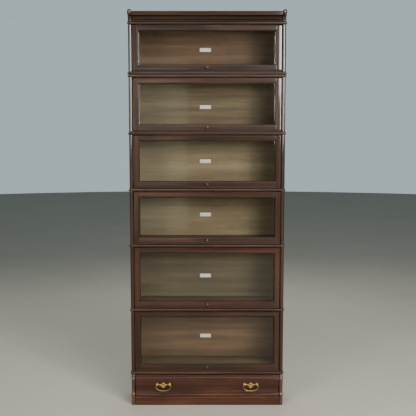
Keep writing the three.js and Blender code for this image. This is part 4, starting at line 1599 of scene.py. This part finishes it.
@dataclass
class Pull:
    """One drawer pull: a bat-wing plate, two studs with eyes and a swan-neck bail."""

    label: str
    shop: Workshop
    base: Base
    half_width: float = 44 * MM
    thickness: float = 1.6 * MM
    eye_x: float = 35 * MM
    eye_height: float = 2 * MM
    eye_radius: float = 4.5 * MM
    standoff: float = 9 * MM
    wire: float = 2 * MM
    drop: float = 31 * MM
    elbow: float = 3.5 * MM
    shoulder: float = 0.94
    shoulder_drop: float = 0.72
    flat: float = 0.56
    upper_edge: tuple[tuple[float, ...], ...] = ((5.5,), (11.5, 0, 8.5), (11.5, 37, 7.5))
    lower_edge: tuple[tuple[float, ...], ...] = ((4.0,), (-21.0, 0, 15.5), (-7.5, 36, 4.8))
    hoop_radius: float = 8.4
    hoop_eye: float = 4.8
    hoop_outside: float = 10.5

    def build(self) -> None:
        """Make the plate with its studs, and the bail."""
        low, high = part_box(f"{self.label}_pull_bail")
        self.centre_x = (low.x + high.x) / 2
        base = self.base
        lean = math.atan2(base.crest - base.waist, base.crest_z - base.waist_z)
        seat_y = base.plane - (base.crest + base.waist) / 2
        self.seat = np.array([self.centre_x, seat_y, (base.crest_z + base.waist_z) / 2])
        cosine, sine = math.cos(lean), math.sin(lean)
        self.tilt = np.array([[1, 0, 0], [0, cosine, -sine], [0, sine, cosine]])
        self._plate()
        self._bail(high.z - self.wire)

    def _on_seat(self, points: np.ndarray) -> np.ndarray:
        """Return points drawn against an upright seat, leaned and put on the drawer."""
        return points @ self.tilt.T + self.seat

    def _plate(self) -> None:
        """Make the plate, studs and eyes.

        For each place x along the plate its lower and upper edges are sums of bell curves: a wide one in
        the middle and one near each end. The face has a raised rim, a channel inside the rim of the lower
        lobe, and a raised ring with a sunk eye in the middle, each a bell curve of its distance. All of it
        is drawn in millimetres.
        """
        across = self.half_width * np.sin(np.linspace(-np.pi / 2, np.pi / 2, 145))
        x = np.abs(across) / MM
        close = np.sqrt(np.clip(1 - (x / (self.half_width / MM)) ** 7, 0, 1))
        middle = 6.0
        top = middle + (self._edge(x, self.upper_edge) - middle) * close
        bottom = middle + (self._edge(x, self.lower_edge) - middle) * close
        share = 0.5 - 0.5 * np.cos(np.linspace(0, np.pi, 41))
        z = (bottom[:, None] * (1 - share) + top[:, None] * share) * MM
        grid_x = np.broadcast_to(across[:, None], z.shape)
        inwards = np.minimum(share, 1 - share)[None, :] * (top - bottom)[:, None]
        inwards = np.minimum(inwards, (self.half_width - np.abs(grid_x)) / MM)
        edge = np.clip(inwards / 1.2, 0, 1)
        ring = np.sqrt((grid_x / MM) ** 2 + ((z / MM - 3.0) * 1.2) ** 2)
        outside = 1 / (1 + np.exp((self.hoop_outside - ring) * 2))
        rim = bell(inwards, 1.7, 1.2)
        channel = bell(inwards, 4.6, 1.5) * outside * np.clip(1.6 - x / 17, 0, 1)[:, None]
        hoop = bell(ring, self.hoop_radius, 2.1)
        sunk = 1 / (1 + np.exp((ring - self.hoop_eye) * 4))
        hollow = np.clip(channel + sunk, 0, 1)
        relief = 0.45 * np.sin(edge * np.pi / 2) + 0.45 * rim + 0.75 * hoop
        depth = self.thickness * (0.35 + 0.75 * relief) * (1 - 0.8 * hollow)
        front = np.stack([grid_x, -FIT - depth, z], -1)
        back = np.stack([grid_x, np.full_like(z, -FIT / 2), z], -1)
        wear = np.concatenate([(1.3 * relief * (1 - hollow)).ravel().clip(0, 1), np.zeros(z.size)])
        shade = np.concatenate([np.maximum(hollow, 1 - edge).ravel().clip(0, 1), np.ones(z.size)])
        plate = slab(front, back, wear, shade, mirrored=True)
        stud = self._stud()
        studs = [turned(stud, (side * self.eye_x, -FIT, self.eye_height), 24) for side in (-1, 1)]
        surface = joined([plate, *studs]).moved(self._on_seat)
        node = f"{self.label}_pull_plate"
        self.shop.stand_in(node, surface, Finish.BRASS, "drawer")

    @staticmethod
    def _edge(x: np.ndarray, shape: Sequence[Sequence[float]]) -> np.ndarray:
        """Return an edge's height at each x: its level plus bells given as (height, centre, width)."""
        (level,), *bells = shape
        return sum((height * bell(x, centre, width) for height, centre, width in bells), level)

    def _stud(self) -> list[tuple[float, float]]:
        """Return a stud's outline: a collar, a neck and a ball that holds the bail."""
        reach = self.standoff + self.thickness
        ball = self.eye_radius
        turn = np.linspace(-0.32 * np.pi, 0.5 * np.pi, 9)[:-1]
        head = [(float(ball * math.cos(a)), float(reach + ball * math.sin(a))) for a in turn]
        collar = [(6.0, 0.0), (6.2, 1.8), (5.2, 2.6), (3.2, 3.4), (2.5, 5.2)]
        neck = [(radius * MM, height * MM) for radius, height in collar]
        return [(0.0, 0.0), *neck, *head, (0.0, reach + ball)]

    def _bail(self, top: float) -> None:
        """Make the swan-neck bail.

        Half of it is a straight pin, a quadratic elbow and a cubic curve to the middle of the bow; the
        other half is its mirror image. The wire swells towards the middle of the bow.

        Args:
            top: Height of the bail's pins.
        """
        node = f"{self.label}_pull_bail"
        low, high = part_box(node)
        half_pin = self.eye_radius + 1 * MM
        bend = self.eye_x + half_pin
        outer = bend + self.elbow
        pin = self._bezier([(self.eye_x - half_pin, 0), (bend, 0)], 9)
        elbow = self._bezier([(bend, 0), (outer, 0), (outer, -self.elbow)], 9)
        shoulder = (outer * self.shoulder, -self.drop * self.shoulder_drop)
        foot = (outer * self.flat, -self.drop)
        bow = self._bezier([(outer, -self.elbow), shoulder, foot, (0, -self.drop)], 26)
        half = np.concatenate([pin[:-1], elbow[:-1], bow])
        line = np.concatenate([half * (-1, 1), half[::-1][1:]])
        depth = np.full(len(line), (low.y + high.y) / 2)
        path = np.stack([line[:, 0] + self.centre_x, depth, line[:, 1] + top], 1)
        sag = np.clip(-line[:, 1] / self.drop, 0, 1)
        radius = self.wire * (0.97 + 0.42 * sag**3)
        self.shop.stand_in(node, tube(path, radius, 18), Finish.DARK_BRASS, f"{self.label}_pull")

    @staticmethod
    def _bezier(controls: Sequence[Sequence[float]], count: int) -> np.ndarray:
        """Return points on the Bezier curve of these controls: each weighted by its Bernstein term."""
        t = np.linspace(0, 1, count)[:, None]
        degree = len(controls) - 1
        weights = [math.comb(degree, k) * (1 - t) ** (degree - k) * t**k for k in range(degree + 1)]
        return sum(weight * np.asarray(control, float) for weight, control in zip(weights, controls))


# ---------------------------------------------------------------- studio


@dataclass
class SoftBox:
    """One large area light."""

    name: str
    place: tuple[float, float, float]
    target: tuple[float, float, float]
    size: tuple[float, float]
    power: float
    colour: Colour = (1.0, 1.0, 1.0)

    def build(self) -> None:
        """Hang the light and aim it."""
        lamp = bpy.data.lights.new(self.name, "AREA")
        lamp.shape = "RECTANGLE"
        lamp.size, lamp.size_y = self.size
        lamp.energy = self.power
        lamp.color = self.colour
        holder = bpy.data.objects.new(self.name, lamp)
        bpy.context.scene.collection.objects.link(holder)
        holder.location = self.place
        aim = np.asarray(self.target) - np.asarray(self.place)
        holder.rotation_euler = Vector(aim).to_track_quat("-Z", "Y").to_euler()
        holder.visible_camera = False


@dataclass
class Studio:
    """Camera, floor, lights and the pale surroundings."""

    distance: float = 4.466
    eye_height: float = 1.61
    tilt: float = 6.16
    lens: float = 70.0
    shift_x: float = 0.005

    def build(self) -> None:
        """Set up everything that isn't part of the bookcase."""
        self._camera()
        self._floor()
        self._world()
        for light in self._lights():
            light.build()

    def _camera(self) -> None:
        """Place the camera at eye height in front of the bookcase, tilted down a little."""
        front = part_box("section_3_left_end")[0].y
        camera = bpy.data.objects.new("camera", bpy.data.cameras.new("camera"))
        camera.data.lens = self.lens
        camera.data.sensor_width = 36
        camera.location = (self.shift_x, front - self.distance, self.eye_height)
        camera.rotation_euler = (math.radians(90 - self.tilt), 0, 0)
        bpy.context.scene.collection.objects.link(camera)
        bpy.context.scene.camera = camera

    @staticmethod
    def _floor() -> None:
        """Lay the floor: a wide disc of rings."""
        radius = np.array([0.02, 1, 2.5, 5, 9, 14.0])
        turn = np.linspace(0, 2 * np.pi, 64, endpoint=False)
        ring = radius[:, None, None] * np.stack([np.cos(turn), np.sin(turn), turn * 0], -1)[None]
        points = ring.reshape(-1, 3)
        faces = [tuple(f) for f in grid_faces(len(radius), len(turn), True)[:, ::-1].tolist()]
        faces.append(tuple(range(len(turn))))
        mesh = bpy.data.meshes.new("floor")
        mesh.from_pydata(points.tolist(), [], faces)
        mesh.materials.append(PaleFloor().material())
        floor = bpy.data.objects.new("floor", mesh)
        bpy.context.scene.collection.objects.link(floor)

    @staticmethod
    def _world() -> None:
        """Fill the surroundings with a pale, slightly blue grey."""
        world = bpy.data.worlds.new("studio")
        world.use_nodes = True
        nodes, links = world.node_tree.nodes, world.node_tree.links
        background = nodes["Background"]
        background.inputs["Color"].default_value = (*linear(178, 200, 207), 1.0)
        ray = nodes.new("ShaderNodeLightPath")
        level = None
        for kind, amount in (("Is Camera Ray", 0.8), ("Is Diffuse Ray", 0.28)):
            share = nodes.new("ShaderNodeMath")
            share.operation = "MULTIPLY_ADD"
            share.inputs[1].default_value = amount
            share.inputs[2].default_value = 0.12
            links.new(ray.outputs[kind], share.inputs[0])
            if level is not None:
                links.new(level, share.inputs[2])
            level = share.outputs[0]
        links.new(level, background.inputs["Strength"])
        bpy.context.scene.world = world

    @staticmethod
    def _lights() -> list[SoftBox]:
        """Return the soft boxes."""
        middle = (0.0, -0.1, 1.2)
        return [
            SoftBox("left_key", (-2.9, -4.7, 2.35), middle, (1.3, 2.3), 80, (1.0, 0.985, 0.96)),
            SoftBox("right_key", (2.6, -4.7, 2.45), middle, (2.2, 2.3), 235, (1.0, 0.985, 0.965)),
            SoftBox("right_card", (1.34, -5.2, 2.55), (1.34, 0, 2.4), (0.95, 1.3), 38, (0.97, 1.0, 1.0)),
            SoftBox("right_strip", (2.0, -3.3, 2.35), (0.0, 0.0, 1.9), (0.22, 1.5), 30, (0.98, 1.0, 1.0)),
            SoftBox("glass_card", (-1.85, -5.4, 1.3), (-1.85, 0, 1.3), (3.2, 2.1), 17, (0.88, 1.0, 0.93)),
            SoftBox("ceiling", (0.0, -2.2, 4.6), (0.0, -0.6, 1.0), (3.6, 0.9), 92),
            SoftBox("back_soft", (0.0, 2.8, 3.2), middle, (2.6, 1.4), 45),
        ]


# ---------------------------------------------------------------- bookcase


SECTION_WOODS = {
    1: Finish.TOP_WOOD,
    2: Finish.UPPER_WOOD,
    3: Finish.MIDDLE_WOOD,
    4: Finish.MIDDLE_WOOD,
    5: Finish.LOW_WOOD,
    6: Finish.LOW_WOOD,
}
BACK_WOODS = {
    1: Finish.RED_BACK,
    2: Finish.BACK_WOOD,
    3: Finish.BACK_WOOD,
    4: Finish.BACK_WOOD,
    5: Finish.DARK_BACK,
    6: Finish.RED_BACK,
}


def main() -> None:
    """Build the studio and the bookcase."""
    logging.basicConfig(level=logging.INFO, format="%(name)s: %(message)s")
    Studio().build()
    shop = Workshop()
    Cornice(Finish.CORNICE_WOOD, shop).build()
    for number, wood in SECTION_WOODS.items():
        Section(number, wood, shop).build()
        Door(number, wood, shop).build()
    base = Base(Finish.BASE_WOOD, shop)
    base.build()
    for label in ("left", "right"):
        Pull(label, shop, base).build()
    LOG.info("%d pieces", shop.count)


if __name__ == "__main__":
    main()
